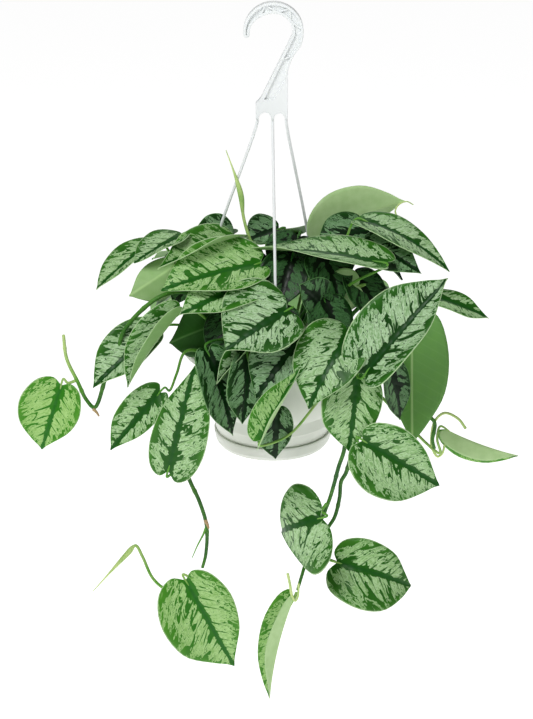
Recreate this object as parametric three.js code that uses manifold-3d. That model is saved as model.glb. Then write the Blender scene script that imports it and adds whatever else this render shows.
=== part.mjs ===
// A satin pothos in a hanging pot: pot, clip-on saucer, soil, moulded hanger and the plant.
// Millimetres, +Z up, the pot's front towards -Y. The origin is where the hook bears on its
// rail, and the pot hangs straight below it, with its axis on Z.

import * as THREE from 'three';
import { mergeVertices } from 'three/addons/utils/BufferGeometryUtils.js';
import Module from 'manifold-3d';

const wasm = await Module();
wasm.setup();

// ---- Driving dimensions -------------------------------------------------------------

// Hanger
const hangHeight = 298; // from the pot's rim up to the bearing point in the crook
const crookRadius = 16; // inside the crook
const hookDepth = 8; // front to back, across the moulding's ribs
const hookRib = 2.2; // width of the ribs that edge the hook
const webThickness = 4; // the thin panel between the ribs
const crookWidth = 9.5; // width of the crook's band
const tipWidth = 5.2; // width the band narrows to at its open end
const stemWidth = 12.4; // width of the stem below the crook
const stemDrop = 50; // from the bearing point to the narrowest part of the stem
const plateWidth = 27.6; // the plate that the strands leave
const plateTop = 78; // below the bearing point
const plateHeight = 13;
const strandWidth = 2.6;
const strandDepth = 3;
const barLength = 8; // the crossbar that holds a strand's foot under the rim
const barHeight = 1.6;
const strandAzimuths = { strand_left: -97, strand_front: 2, strand_right: 145 };

// Pot
const rimRadius = 81; // outside of the rim
const flangeWidth = 8; // flat top of the rim
const lipHeight = 5; // the rim's turned-down edge
const wall = 1.6;
const potHeight = 94; // without its saucer
const waistRadius = 57.5; // outside, at the upper of the two steps
const waistHeight = 36; // above the pot's own foot
const stepHeight = 12; // from one step to the next
const stepInset = 1.6;
const stepRound = 0.4;
const footRadius = 48.6; // outside, at the pot's foot
const drainRadius = 4;
const drainCount = 5;
const soilDrop = 10; // soil below the rim

// Saucer
const saucerHeight = 14;
const saucerFootInset = 2; // the flat underside ends inside the pot's foot
const saucerWall = 1.5;
const footClearance = 0.4; // between the pot's foot and the saucer

// Plant
const leafThickness = 0.9;
const stalkRadius = 1.2;
const vineRadius = 1.7;
const clearance = 0.35; // between any two pieces
const layoutRimRadius = 81; // the rim that the leaf places below were laid out around

// ---- Materials ----------------------------------------------------------------------

const plastic = (color) => new THREE.MeshStandardMaterial({ color, roughness: 0.4, metalness: 0 });
const matte = (color) => new THREE.MeshStandardMaterial({ color, roughness: 0.75, metalness: 0 });
const potPlastic = plastic('#e4e6df');
const hangerPlastic = plastic('#eef0f0');
const potting = matte('#4a3727');
const grownLeaf = matte('#6f9a68');
const youngLeaf = matte('#86b561');
const stemGreen = matte('#46823c');

// ---- Helpers ------------------------------------------------------------------------

const group = new THREE.Group();
const rimHeight = -hangHeight;
const circleSteps = 32;
const radians = THREE.MathUtils.degToRad;
const vec = (x, y, z) => new THREE.Vector3(x, y, z);

/** A unit vector that looks along an azimuth (0 to the front, 90 to the right) and an elevation. */
function heading(azimuth, elevation) {
  const a = radians(azimuth);
  const e = radians(elevation);
  return vec(Math.sin(a) * Math.cos(e), -Math.cos(a) * Math.cos(e), Math.sin(e));
}

/** A closed geometry as a manifold solid. */
function toSolid(geometry) {
  const bare = geometry.clone();
  bare.deleteAttribute('normal');
  bare.deleteAttribute('uv');
  const merged = mergeVertices(bare, 1e-4);
  return new wasm.Manifold(new wasm.Mesh({
    numProp: 3,
    vertProperties: Float32Array.from(merged.attributes.position.array),
    triVerts: Uint32Array.from(merged.index.array),
  }));
}

/** A manifold solid as a geometry. */
function toGeometry(solid) {
  const mesh = solid.getMesh();
  const geometry = new THREE.BufferGeometry();
  geometry.setAttribute('position', new THREE.BufferAttribute(Float32Array.from(mesh.vertProperties), 3));
  geometry.setIndex(new THREE.BufferAttribute(Uint32Array.from(mesh.triVerts), 1));
  geometry.computeVertexNormals();
  return geometry;
}

/** The largest of a solid's separate bodies. */
function largest(solid) {
  const bodies = solid.decompose();
  return bodies.reduce((best, body) => (body.volume() > best.volume() ? body : best));
}

/** Adds a named mesh to the group. */
function piece(name, solid, material) {
  const mesh = new THREE.Mesh(toGeometry(solid), material);
  mesh.name = name;
  group.add(mesh);
}

/** A solid turned about Z from [radius, height] pairs that close on themselves. */
function turned(profile) {
  const points = profile.map(([radius, height]) => new THREE.Vector2(radius, height));
  points.push(points[0].clone());
  const geometry = new THREE.LatheGeometry(points, circleSteps);
  geometry.rotateX(Math.PI / 2);
  return toSolid(geometry);
}

/** A tube of n sides along a smooth curve through the points. */
function tube(points, radius, steps, sides = 6) {
  const ring = new THREE.Shape();
  for (let i = 0; i < sides; i += 1) {
    const a = (2 * Math.PI * i) / sides;
    ring[i ? 'lineTo' : 'moveTo'](radius * Math.cos(a), radius * Math.sin(a));
  }
  const extrudePath = new THREE.CatmullRomCurve3(points);
  return toSolid(new THREE.ExtrudeGeometry(ring, { steps, extrudePath, curveSegments: 1 }));
}

/** An outline in the XZ plane, extruded to both sides of Y = 0. */
function upright(shape, depth) {
  const geometry = new THREE.ExtrudeGeometry(shape, { depth, bevelEnabled: false, curveSegments: 7 });
  geometry.rotateX(Math.PI / 2);
  geometry.translate(0, depth / 2, 0);
  return toSolid(geometry);
}

// ---- Pot, saucer and soil -----------------------------------------------------------

const potFoot = rimHeight - potHeight;
const waist = potFoot + waistHeight;
const lowerStep = waist - stepHeight;
const throatRadius = rimRadius - flangeWidth; // outside of the wall, just under the rim

/** The outside of the pot's curved shoulder, from under the rim (0) to the waist (1). */
function shoulder(share) {
  const top = rimHeight - wall;
  const swing = Math.sin((share * Math.PI) / 2);
  const sink = 1 - Math.cos((share * Math.PI) / 2);
  const radius = THREE.MathUtils.lerp(throatRadius, waistRadius, 0.35 * swing + 0.65 * sink);
  return [radius, THREE.MathUtils.lerp(top, waist, 0.55 * swing + 0.45 * share)];
}

/** The pot's section, grown by swell on every side. */
function potProfile(swell = 0) {
  const shares = [0, 0.25, 0.5, 0.75, 1];
  const outside = shares.map(shoulder).map(([radius, height]) => [radius + swell, height]);
  const thin = wall + swell;
  const inside = shares.slice(1).map(shoulder).map(([radius, height]) => [radius - thin, height]);
  const band = waistRadius - stepInset;
  const base = band - stepInset;
  return [
    [throatRadius - thin, rimHeight + swell],
    [throatRadius - thin, rimHeight - 2 * wall],
    ...inside,
    [base - thin, lowerStep - wall],
    [footRadius - thin, potFoot + thin],
    [0.01, potFoot + thin],
    [0.01, potFoot - swell],
    [footRadius + swell, potFoot - swell],
    [base - stepRound + swell, lowerStep - 1.5 * stepInset],
    [base + swell, lowerStep - swell],
    [band + swell, lowerStep - swell],
    [band + swell, waist - stepInset],
    ...outside.reverse(),
    [rimRadius - thin, rimHeight - thin],
    [rimRadius - thin, rimHeight - lipHeight - swell],
    [rimRadius + swell, rimHeight - lipHeight - swell],
    [rimRadius + swell, rimHeight - 0.8],
    [rimRadius - 0.8, rimHeight + swell],
  ];
}

function buildPot() {
  let pot = turned(potProfile());
  const slotRadius = rimRadius - flangeWidth / 2;
  for (const azimuth of Object.values(strandAzimuths)) {
    const slot = new THREE.BoxGeometry(strandWidth + 2, strandDepth + 2, 4 * wall);
    slot.rotateZ(radians(azimuth));
    const at = heading(azimuth, 0).multiplyScalar(slotRadius);
    slot.translate(at.x, at.y, rimHeight - wall / 2);
    pot = pot.subtract(toSolid(slot));
  }
  for (let i = 0; i < drainCount; i += 1) {
    const drain = new THREE.CylinderGeometry(drainRadius, drainRadius, 4 * wall, 12);
    drain.rotateX(Math.PI / 2);
    const at = heading((360 * i) / drainCount, 0).multiplyScalar(footRadius * 0.6);
    drain.translate(at.x, at.y, potFoot);
    pot = pot.subtract(toSolid(drain));
  }
  return largest(pot);
}

/** The outside radius of the pot's tapered foot, some way above its underside. */
function footTaper(above) {
  const top = waistRadius - 2 * stepInset - stepRound;
  return THREE.MathUtils.mapLinear(above, 0, lowerStep - 1.5 * stepInset - potFoot, footRadius, top);
}

function buildSaucer() {
  const floor = potFoot - footClearance;
  const under = floor - saucerWall;
  const top = under + saucerHeight;
  const inside = footTaper(top - potFoot) + footClearance;
  const outside = inside + saucerWall;
  const flat = footRadius - saucerFootInset;
  const corner = footRadius + footClearance;
  return turned([
    [0.01, floor],
    [0.01, under],
    [flat, under],
    [flat + 3.2, under + 1.2],
    [outside - 1.2, under + 5],
    [outside, top - 2],
    [outside, top],
    [inside, top],
    [footTaper(2.5 - footClearance) + footClearance, floor + 2.5],
    [corner, floor],
  ]);
}

function buildSoil() {
  const top = rimHeight - soilDrop;
  const floor = potFoot + wall + clearance;
  const shares = [0.25, 0.5, 0.75, 1];
  const wallLine = shares.map(shoulder).map(([radius, height]) => [radius - wall - 1, height]);
  const below = wallLine.filter(([, height]) => height < top);
  return turned([
    [0.01, top + 3],
    [0.01, floor],
    [footRadius - wall - 1, floor],
    [waistRadius - 2 * stepInset - wall - 1, lowerStep - wall - 0.5],
    ...below.reverse(),
    [below.at(-1)[0] + 0.5, top - 1],
    [below.at(-1)[0] - 6, top + 1],
  ]);
}

// ---- Hanger -------------------------------------------------------------------------

const crookCentre = -crookRadius; // height of the crook's centre
const outerRadius = crookRadius + crookWidth;
const crookTip = radians(185); // where the crook's open end stops, from +X
const taperStart = radians(105); // where the band starts to narrow, from +X
const plateLeft = stemWidth - plateWidth;
const plateBottom = -plateTop - plateHeight;

/** The hook's outline, drawn inside its edge by an inset. */
function hookOutline(inset) {
  const shape = new THREE.Shape();
  const outer = outerRadius - inset;
  const inner = crookRadius + inset;
  const rightEdge = stemWidth - inset;
  shape.moveTo(plateLeft + inset, plateBottom + inset);
  shape.lineTo(rightEdge, plateBottom + inset);
  shape.lineTo(rightEdge, -stemDrop);
  shape.quadraticCurveTo(rightEdge + 2, -stemDrop + 12, outer - 3, crookCentre - 13);
  shape.quadraticCurveTo(outer, crookCentre - 8, outer, crookCentre);
  shape.absarc(0, crookCentre, outer, 0, crookTip, false);
  const middle = outerRadius - tipWidth / 2;
  const tipX = middle * Math.cos(crookTip);
  const tipZ = crookCentre + middle * Math.sin(crookTip);
  shape.absarc(tipX, tipZ, tipWidth / 2 - inset, crookTip, crookTip + Math.PI, false);
  for (let i = 1; i < 12; i += 1) {
    const angle = THREE.MathUtils.lerp(crookTip, taperStart, i / 12);
    const taper = THREE.MathUtils.smoothstep(i, 0, 12);
    const radius = THREE.MathUtils.lerp(outerRadius - tipWidth, crookRadius, taper) + inset;
    shape.lineTo(radius * Math.cos(angle), crookCentre + radius * Math.sin(angle));
  }
  shape.absarc(0, crookCentre, inner, taperStart, -0.15, true);
  shape.lineTo(plateLeft + inset + 4.5, -plateTop + 5 - inset);
  shape.lineTo(plateLeft + inset, -plateTop - inset);
  shape.closePath();
  return shape;
}

/** The arch between two strands, at the plate's lower edge. */
function arch(left, right) {
  const shape = new THREE.Shape();
  const radius = (right - left) / 2;
  shape.moveTo(left, plateBottom - 1);
  shape.lineTo(right, plateBottom - 1);
  shape.lineTo(right, plateBottom + 0.5);
  shape.absarc(left + radius, plateBottom + 0.5, radius, 0, Math.PI, false);
  shape.closePath();
  return upright(shape, 2 * hookDepth);
}

/** The zig-zag ribs that brace the crook. */
function bracing() {
  const ribs = [];
  const turns = 5;
  for (let i = 0; i < turns; i += 1) {
    const a = THREE.MathUtils.lerp(0.1, 2.3, i / turns);
    const b = THREE.MathUtils.lerp(0.1, 2.3, (i + 1) / turns);
    const [from, to] = i % 2 ? [crookRadius, outerRadius] : [outerRadius, crookRadius];
    const start = vec(from * Math.cos(a), 0, crookCentre + from * Math.sin(a));
    const end = vec(to * Math.cos(b), 0, crookCentre + to * Math.sin(b));
    const rib = new THREE.BoxGeometry(start.distanceTo(end), hookDepth - 1, 1.3);
    rib.rotateY(-Math.atan2(end.z - start.z, end.x - start.x));
    rib.translate((start.x + end.x) / 2, 0, (start.z + end.z) / 2);
    ribs.push(toSolid(rib));
  }
  return ribs;
}

function buildHook() {
  const body = upright(hookOutline(0), hookDepth);
  const core = upright(hookOutline(hookRib), 2 * hookDepth);
  const web = upright(hookOutline(0), webThickness);
  let hook = body.subtract(core).add(web);
  for (const rib of bracing()) {
    hook = hook.add(rib.intersect(body));
  }
  const { left, middle, right } = strandTops();
  hook = hook.subtract(arch(left + strandWidth / 2, middle - strandWidth / 2));
  hook = hook.subtract(arch(middle + strandWidth / 2, right - strandWidth / 2));
  return largest(hook);
}

/** Where the three strands leave the plate, across X. */
function strandTops() {
  return {
    left: plateLeft + strandWidth / 2,
    middle: -strandWidth / 4,
    right: stemWidth - strandWidth / 2,
  };
}

/** One strand: down from the plate, through its slot in the rim, to a crossbar under it. */
function buildStrand(name, swell = 0) {
  const { left, middle, right } = strandTops();
  const across = { strand_left: left, strand_front: middle, strand_right: right }[name];
  const azimuth = strandAzimuths[name];
  const foot = heading(azimuth, 0).multiplyScalar(rimRadius - flangeWidth / 2);
  const start = vec(across, 0, plateBottom - 2 * clearance);
  const end = vec(foot.x, foot.y, rimHeight + 6);
  const run = end.clone().sub(start);
  const points = [
    start,
    start.clone().add(vec(0, 0, -4)),
    start.clone().addScaledVector(run, 0.5).add(vec(0.02 * run.x, 0.02 * run.y, 0)),
    end,
    vec(foot.x, foot.y, rimHeight - wall - barHeight),
  ];
  const section = new THREE.Shape();
  const halfDepth = strandDepth / 2 + swell;
  const halfWidth = strandWidth / 2 + swell;
  section.moveTo(-halfDepth, -halfWidth);
  section.lineTo(halfDepth, -halfWidth);
  section.lineTo(halfDepth, halfWidth);
  section.lineTo(-halfDepth, halfWidth);
  section.closePath();
  const extrudePath = new THREE.CatmullRomCurve3(points, false, 'chordal');
  const rod = toSolid(new THREE.ExtrudeGeometry(section, { steps: 24, extrudePath }));
  const bar = new THREE.BoxGeometry(barLength, strandDepth, barHeight);
  bar.rotateZ(radians(azimuth));
  bar.translate(foot.x, foot.y, rimHeight - wall - clearance - barHeight / 2);
  return largest(rod.add(toSolid(bar)));
}

// ---- Leaves -------------------------------------------------------------------------

// The two halves of a leaf's outline, which is fuller on one side: shares of its length
// forward of the notch, and of its width to the side, round the back lobe to the tip.
const fullHalf = [[0, 0], [-0.08, 0.17], [0.02, 0.42], [0.3, 0.57], [0.62, 0.51], [0.89, 0.24], [1, 0]];
const slimHalf = [[0, 0], [-0.06, 0.14], [0.03, 0.34], [0.28, 0.44], [0.58, 0.37], [0.85, 0.16], [1, 0]];
const midribShares = [0, 0.07, 0.19, 0.38, 0.61, 0.83, 1];
const columnShares = [0, 0.55, 1]; // from the midrib to the margin

/** A point of the pot's surroundings, moved with the rim when the rim's radius is changed. */
function place([x, y, z]) {
  const k = rimRadius / layoutRimRadius;
  return vec(x * k, y * k, rimHeight + z);
}

/** The leaf's surface: a function of the share along it and the share across it. */
function surface(leaf) {
  const { base, tip, width, face, fold = [8, 8], curl = [10, 10], bow = 20, twist = 0 } = leaf;
  const from = place(base);
  const to = place(tip);
  const chord = to.clone().sub(from);
  const bend = radians(bow);
  const length = (chord.length() * bend) / 2 / Math.sin(bend / 2);
  const along = chord.normalize();
  const look = heading(...face);
  const up = look.addScaledVector(along, -look.dot(along)).normalize();
  return (share, across) => {
    const s = Math.max(share, 0);
    const radius = length / bend;
    const rise = radius * (Math.cos(bend / 2 - s * bend) - Math.cos(bend / 2));
    const reach = radius * (Math.sin(bend / 2) - Math.sin(bend / 2 - s * bend));
    const angle = bend / 2 - s * bend;
    const tangent = along.clone().multiplyScalar(Math.cos(angle)).addScaledVector(up, Math.sin(angle));
    const spine = from.clone().addScaledVector(along, reach).addScaledVector(up, rise);
    spine.addScaledVector(tangent, Math.min(share, 0) * length);
    const turn = radians(twist) * s;
    const normal = up.clone().multiplyScalar(Math.cos(angle)).addScaledVector(along, -Math.sin(angle));
    normal.applyAxisAngle(tangent, turn);
    const side = tangent.clone().cross(normal).multiplyScalar(Math.sign(across) || 1);
    const half = across < 0 ? 0 : 1;
    const distance = Math.abs(across) * width;
    const start = radians(fold[half]);
    const rate = radians(curl[half]) / (width / 2);
    const safe = Math.abs(rate) < 1e-5 ? 1e-5 : rate;
    const out = (Math.sin(start + safe * distance) - Math.sin(start)) / safe;
    const lift = (Math.cos(start) - Math.cos(start + safe * distance)) / safe;
    return spine.addScaledVector(side, out).addScaledVector(normal, lift);
  };
}

/** A leaf blade as a closed solid, made thicker by swell on each side for clearance cuts. */
function blade(leaf, swell) {
  const at = surface(leaf);
  const rows = midribShares.length;
  const grid = new Map();
  const points = [];
  const key = (row, column) => (row === 0 || row === rows - 1 ? `${row}` : `${row},${column}`);
  for (let row = 0; row < rows; row += 1) {
    for (let column = -2; column <= 2; column += 1) {
      if (!grid.has(key(row, column))) {
        const across = columnShares[Math.abs(column)];
        const outline = column * (leaf.full ?? 1) > 0 ? fullHalf : slimHalf;
        const grown = 1 + (3 * swell) / leaf.width;
        const share = grown * (THREE.MathUtils.lerp(midribShares[row], outline[row][0], across) - 0.5) + 0.5;
        const wide = grown * across * outline[row][1] * (column < 0 ? -1 : 1);
        grid.set(key(row, column), points.length);
        points.push([share, wide]);
      }
    }
  }
  const faces = [];
  for (let row = 0; row + 1 < rows; row += 1) {
    for (let column = -2; column < 2; column += 1) {
      const a = grid.get(key(row, column));
      const b = grid.get(key(row, column + 1));
      const c = grid.get(key(row + 1, column + 1));
      const d = grid.get(key(row + 1, column));
      if (a !== b) faces.push([a, b, c]);
      if (c !== d) faces.push([a, c, d]);
    }
  }
  return slab(points.map(([share, wide]) => at(share, wide)), faces, leafThickness / 2 + swell);
}

/** A triangulated sheet thickened to both sides along its normals. */
function slab(points, faces, half) {
  const sheet = new THREE.BufferGeometry().setFromPoints(points);
  sheet.setIndex(faces.flat());
  sheet.computeVertexNormals();
  const normals = sheet.attributes.normal;
  const vertices = [];
  for (const side of [1, -1]) {
    points.forEach((point, i) => {
      const normal = vec(normals.getX(i), normals.getY(i), normals.getZ(i));
      vertices.push(point.clone().addScaledVector(normal, side * half));
    });
  }
  const count = points.length;
  const index = [];
  const edges = new Map();
  for (const [a, b, c] of faces) {
    index.push(a, b, c, a + count, c + count, b + count);
    for (const [from, to] of [[a, b], [b, c], [c, a]]) {
      if (!edges.delete(`${to},${from}`)) edges.set(`${from},${to}`, [from, to]);
    }
  }
  for (const [from, to] of edges.values()) {
    index.push(to, from, from + count, to, from + count, to + count);
  }
  const geometry = new THREE.BufferGeometry().setFromPoints(vertices);
  geometry.setIndex(index);
  return toSolid(geometry);
}

/** The stalk from its root to the blade's notch. A root given as a share is in the soil. */
function stalk(leaf, swell) {
  const { base, root = [0.4 * base[0], 0.4 * base[1], 4 - soilDrop], lift = 18, via } = leaf;
  const start = place(root);
  const at = surface(leaf);
  const end = at(0.06, 0);
  const inward = at(0, 0).sub(at(0.1, 0)).normalize();
  const neck = at(0, 0).addScaledVector(inward, 6);
  const arched = start.clone().lerp(end, 0.5).add(vec(0, 0, lift));
  const between = via ? via.map(place) : [arched];
  return tube([start, ...between, neck, end], stalkRadius + swell, 3 + 2 * between.length, 4);
}

// Every leaf: where its notch and its tip are, seen from the rim's centre, its width, and the
// azimuth and elevation that its upper side faces. Fold and curl are given for its left and
// right halves, bow along it. A stalk grows from the soil unless it has a root on a vine, and
// arches by its lift unless it is led through the points of via.
const leaves = [
  // Crown, left
  { name: 'leaf_left_reach', base: [-106, -8, 96], tip: [-153, -45, 66], width: 36, face: [60, 92] },
  {
    name: 'leaf_left_folded', base: [-80, -16, 106], tip: [-120, -44, 90], width: 44, face: [20, 70],
    fold: [30, -20],
  },
  {
    name: 'leaf_left_curled', base: [-36, 0, 94], tip: [-99, -60, 90], width: 52, face: [0, 62],
    fold: [50, 25], full: -1,
  },
  { name: 'leaf_left_broad_upper', base: [-12, -34, 86], tip: [-96, -74, 76], width: 58, face: [0, 54] },
  { name: 'leaf_left_broad_lower', base: [-10, -42, 74], tip: [-80, -86, 58], width: 48, face: [0, 50] },
  {
    name: 'leaf_left_wing', base: [-103, -56, 32], tip: [-156, -78, -12], width: 44, face: [-12, 32],
    fold: [25, 5],
  },
  {
    name: 'leaf_left_strip', base: [-80, -70, 54], tip: [-125, -92, -6], width: 40, face: [-60, 20],
    fold: [60, 60],
  },
  { name: 'leaf_left_shade', base: [-43, -44, 36], tip: [-90, -66, 25], width: 54, face: [170, 10] },
  // Crown, top
  { name: 'leaf_top_left', base: [-37, 30, 86], tip: [-73, 15, 95], width: 40, face: [10, 45] },
  { name: 'leaf_top_middle', base: [5, 25, 98], tip: [-24, 10, 92], width: 36, face: [0, 60] },
  {
    name: 'leaf_top_right_arching', base: [40, 38, 84], tip: [119, 50, 116], width: 58,
    face: [180, 26], bow: 40,
  },
  {
    name: 'leaf_top_right_inner', base: [84, 18, 100], tip: [38, 2, 90], width: 44, face: [0, 50],
    fold: [-12, -12], bow: 50,
  },
  {
    name: 'leaf_top_right_upper', base: [78, -5, 116], tip: [153, -35, 79], width: 44, face: [30, 74],
    bow: 40,
  },
  { name: 'leaf_top_right_lower', base: [80, -10, 98], tip: [128, -42, 80], width: 44, face: [20, 50] },
  {
    name: 'leaf_crown_front', base: [92, -54, 94], tip: [-34, -14, 92], width: 48, face: [0, 73],
    twist: 40,
  },
  { name: 'leaf_front_shade', base: [40, -50, 56], tip: [22, -70, 80], width: 34, face: [0, 30] },
  // Crown, front and right
  {
    name: 'leaf_front_left_heart', base: [12, -68, 56], tip: [-41, -100, 31], width: 76,
    face: [-5, 50], fold: [5, 12],
  },
  { name: 'leaf_front_left_dark', base: [-56, -84, 24], tip: [-35, -90, -52], width: 42, face: [40, 0] },
  {
    name: 'leaf_front_curled', base: [-13, -64, 26], tip: [-49, -92, -3], width: 30, face: [-30, 30],
    fold: [60, 60],
  },
  { name: 'leaf_front_teal', base: [-22, -80, 17], tip: [-27, -92, -40], width: 40, face: [30, 15] },
  { name: 'leaf_front_middle', base: [22, -78, 32], tip: [-15, -96, -14], width: 50, face: [-15, 30] },
  {
    name: 'leaf_front_folded', base: [-10, -103, -50], tip: [23, -99, 15], width: 44, face: [-15, 10],
    fold: [5, 80], via: [[60, -80, 4], [40, -84, -20], [16, -92, -48], [2, -98, -54]], young: true,
  },
  { name: 'leaf_front_low', base: [3, -86, -28], tip: [2, -90, -74], width: 34, face: [0, 10] },
  {
    name: 'leaf_front_right_wide', base: [66, -66, 34], tip: [30, -106, -20], width: 60,
    face: [-10, 30], bow: 75,
  },
  {
    name: 'leaf_right_upright', base: [78, -98, 10], tip: [148, -76, 88], width: 66, face: [-12, 22],
    fold: [5, 38], full: -1,
  },
  { name: 'leaf_right_thin', base: [143, -20, 50], tip: [190, -25, 32], width: 30, face: [0, 70] },
  { name: 'leaf_right_turned', base: [121, -42, 38], tip: [123, -60, -75], width: 60, face: [180, 5] },
  { name: 'leaf_right_shade', base: [101, -62, 3], tip: [111, -68, -47], width: 40, face: [50, 10] },
  { name: 'leaf_right_hanging', base: [72, -88, 5], tip: [65, -98, -63], width: 54, face: [5, 15] },
  // Trailing
  {
    name: 'leaf_right_low', base: [77, -102, -51], tip: [144, -106, -92], width: 66, face: [5, 25],
    fold: [28, 5], full: 1, root: [65, -91, -63], lift: 2,
  },
  {
    name: 'leaf_left_oval', base: [-98, -79, -16], tip: [-142, -85, -68], width: 34, face: [-10, 20],
    via: [[-76, -58, 14], [-84, -66, -4], [-90, -72, -17]],
  },
  {
    name: 'leaf_left_upturned', base: [-91, -100, -81], tip: [-67, -92, 15], width: 50, face: [-5, 15],
    root: [-77, -88, -88], lift: 0,
  },
  {
    name: 'leaf_trail_right_middle', base: [42, -92, -130], tip: [8, -58, -160], width: 82,
    face: [-50, 6], fold: [-12, -12], bow: 80, full: -1, root: [47, -84, -120], lift: 0,
  },
  {
    name: 'leaf_trail_right_end', base: [58, -62, -190], tip: [126, -54, -218], width: 64,
    face: [5, 30], bow: 75, root: [50, -62, -187], lift: 0,
  },
  {
    name: 'leaf_trail_right_lowest', base: [18, -82, -218], tip: [-3, -88, -317], width: 36,
    face: [-80, 5], fold: [50, 45], root: [21, -84, -209], lift: 0, young: true,
  },
  {
    name: 'leaf_trail_left_end', base: [-78, -88, -194], tip: [-35, -92, -280], width: 70,
    face: [-5, 25], root: [-66, -87, -185], lift: 0, young: true,
  },
  {
    name: 'leaf_far_left_end', base: [-185, -60, -17], tip: [-204, -66, -76], width: 55, face: [0, 20],
    root: [-173, -57, -14], lift: 2, young: true,
  },
  {
    name: 'leaf_far_right_folded', base: [154, -45, -66], tip: [218, -55, -87], width: 36,
    face: [0, -70], fold: [55, 50], via: [[149, -48, -88], [146, -47, -74]], young: true,
  },
  // Back
  { name: 'leaf_back_right', base: [60, 66, 40], tip: [95, 116, -15], width: 60, face: [150, 25] },
  { name: 'leaf_back_middle_right', base: [20, 78, 34], tip: [35, 122, -45], width: 62, face: [170, 15] },
  { name: 'leaf_back_middle_left', base: [-28, 78, 42], tip: [-45, 124, -22], width: 60, face: [190, 20] },
  { name: 'leaf_back_left', base: [-70, 60, 36], tip: [-115, 92, -12], width: 58, face: [230, 25] },
  { name: 'leaf_back_side_right', base: [95, 30, 36], tip: [152, 48, -6], width: 58, face: [110, 30] },
  { name: 'leaf_back_top', base: [-5, 62, 72], tip: [10, 128, 52], width: 58, face: [180, 60] },
  { name: 'leaf_back_top_left', base: [-58, 42, 70], tip: [-112, 76, 52], width: 54, face: [210, 65] },
  { name: 'leaf_back_top_right', base: [48, 58, 74], tip: [98, 104, 56], width: 54, face: [140, 60] },
];

// The trailing stems: the points that each is led through, by hand.
const trails = [
  {
    name: 'stem_trail_left',
    points: [
      [-30, -18, -6], [-70, -40, 60], [-96, -60, 66], [-128, -62, 36], [-137, -62, 7], [-145, -60, -7],
      [-157, -58, -39], [-164, -57, -32], [-171, -57, -15], [-180, -55, 6], [-182, -55, 28],
    ],
  },
  {
    name: 'stem_trail_lower_left',
    points: [
      [-34, -36, -6], [-60, -70, 10], [-80, -86, -20], [-78, -84, -70], [-74, -84, -95],
      [-65, -84, -118], [-59, -84, -142], [-60, -85, -170], [-63, -87, -182],
    ],
  },
  {
    name: 'stem_trail_lower_right',
    points: [
      [24, -34, -6], [46, -66, 20], [58, -88, 0], [60, -88, -30], [62, -87, -64], [57, -84, -85],
      [54, -80, -101], [50, -78, -118], [44, -70, -140], [34, -68, -170], [25, -78, -198],
      [22, -84, -206],
    ],
  },
  {
    name: 'stem_trail_lowest_right',
    points: [
      [30, -30, -6], [56, -60, 22], [74, -80, 4], [74, -80, -40], [68, -79, -76], [64, -76, -94],
      [60, -73, -104], [59, -71, -120], [55, -68, -141], [48, -66, -156], [46, -64, -174],
      [48, -62, -184],
    ],
  },
  {
    name: 'stem_trail_right',
    points: [
      [40, -20, -6], [84, -36, 50], [104, -44, 10], [115, -45, -42], [130, -45, -49], [143, -46, -58],
      [142, -46, -76], [144, -46, -84],
    ],
  },
  {
    name: 'shoot_spear',
    points: [
      [0, -5, -6], [-6, -8, 50], [-14, -10, 90], [-20, -8, 99], [-26, -4, 119], [-28, -2, 137],
      [-32, 0, 152], [-41, 4, 177],
    ],
  },
  {
    name: 'shoot_trail_left',
    points: [
      [-68, -80, -196], [-84, -72, -212], [-98, -67, -214], [-109, -64, -205], [-118, -62, -184],
      [-124, -60, -174], [-132, -61, -182], [-163, -70, -215],
    ],
  },
];

// ---- Assembly -----------------------------------------------------------------------

const cutters = [];

/** Keeps the space of a solid free of whatever is added after it. */
function reserve(solid) {
  cutters.push({ solid, box: solid.boundingBox() });
}

/** Adds a plant piece, cut clear of every piece already there. */
function grow(name, solid, cutter, material) {
  let own = solid;
  const box = own.boundingBox();
  for (const other of cutters) {
    const apart = [0, 1, 2].some((k) => box.min[k] > other.box.max[k] || box.max[k] < other.box.min[k]);
    if (!apart) own = own.subtract(other.solid);
  }
  piece(name, largest(own), material);
  reserve(cutter);
}

piece('pot', buildPot(), potPlastic);
piece('saucer', buildSaucer(), potPlastic);
piece('soil', buildSoil(), potting);
piece('hanger_hook', buildHook(), hangerPlastic);
for (const name of Object.keys(strandAzimuths)) {
  piece(name, buildStrand(name), hangerPlastic);
  reserve(buildStrand(name, clearance));
}
reserve(turned(potProfile(clearance)));

for (const trail of trails) {
  const points = trail.points.map(place);
  const steps = 2 * points.length;
  const cutter = tube(points, vineRadius + clearance, steps, 5);
  grow(trail.name, tube(points, vineRadius, steps, 5), cutter, stemGreen);
}
for (const leaf of leaves) {
  const solid = blade(leaf, 0).add(stalk(leaf, 0));
  const cutter = blade(leaf, clearance).add(stalk(leaf, clearance));
  grow(leaf.name, solid, cutter, leaf.young ? youngLeaf : grownLeaf);
}

export default group;
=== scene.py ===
"""A satin pothos in an off-white hanging pot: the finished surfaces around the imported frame.

Lengths are millimetres until a mesh is made, which holds metres in the row's frame: the
origin is where the hook bears on its rail, the pot's axis is Z, and its front is -Y.
"""

import logging
import math
from collections.abc import Sequence
from dataclasses import dataclass, field
from enum import Enum, StrEnum

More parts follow.
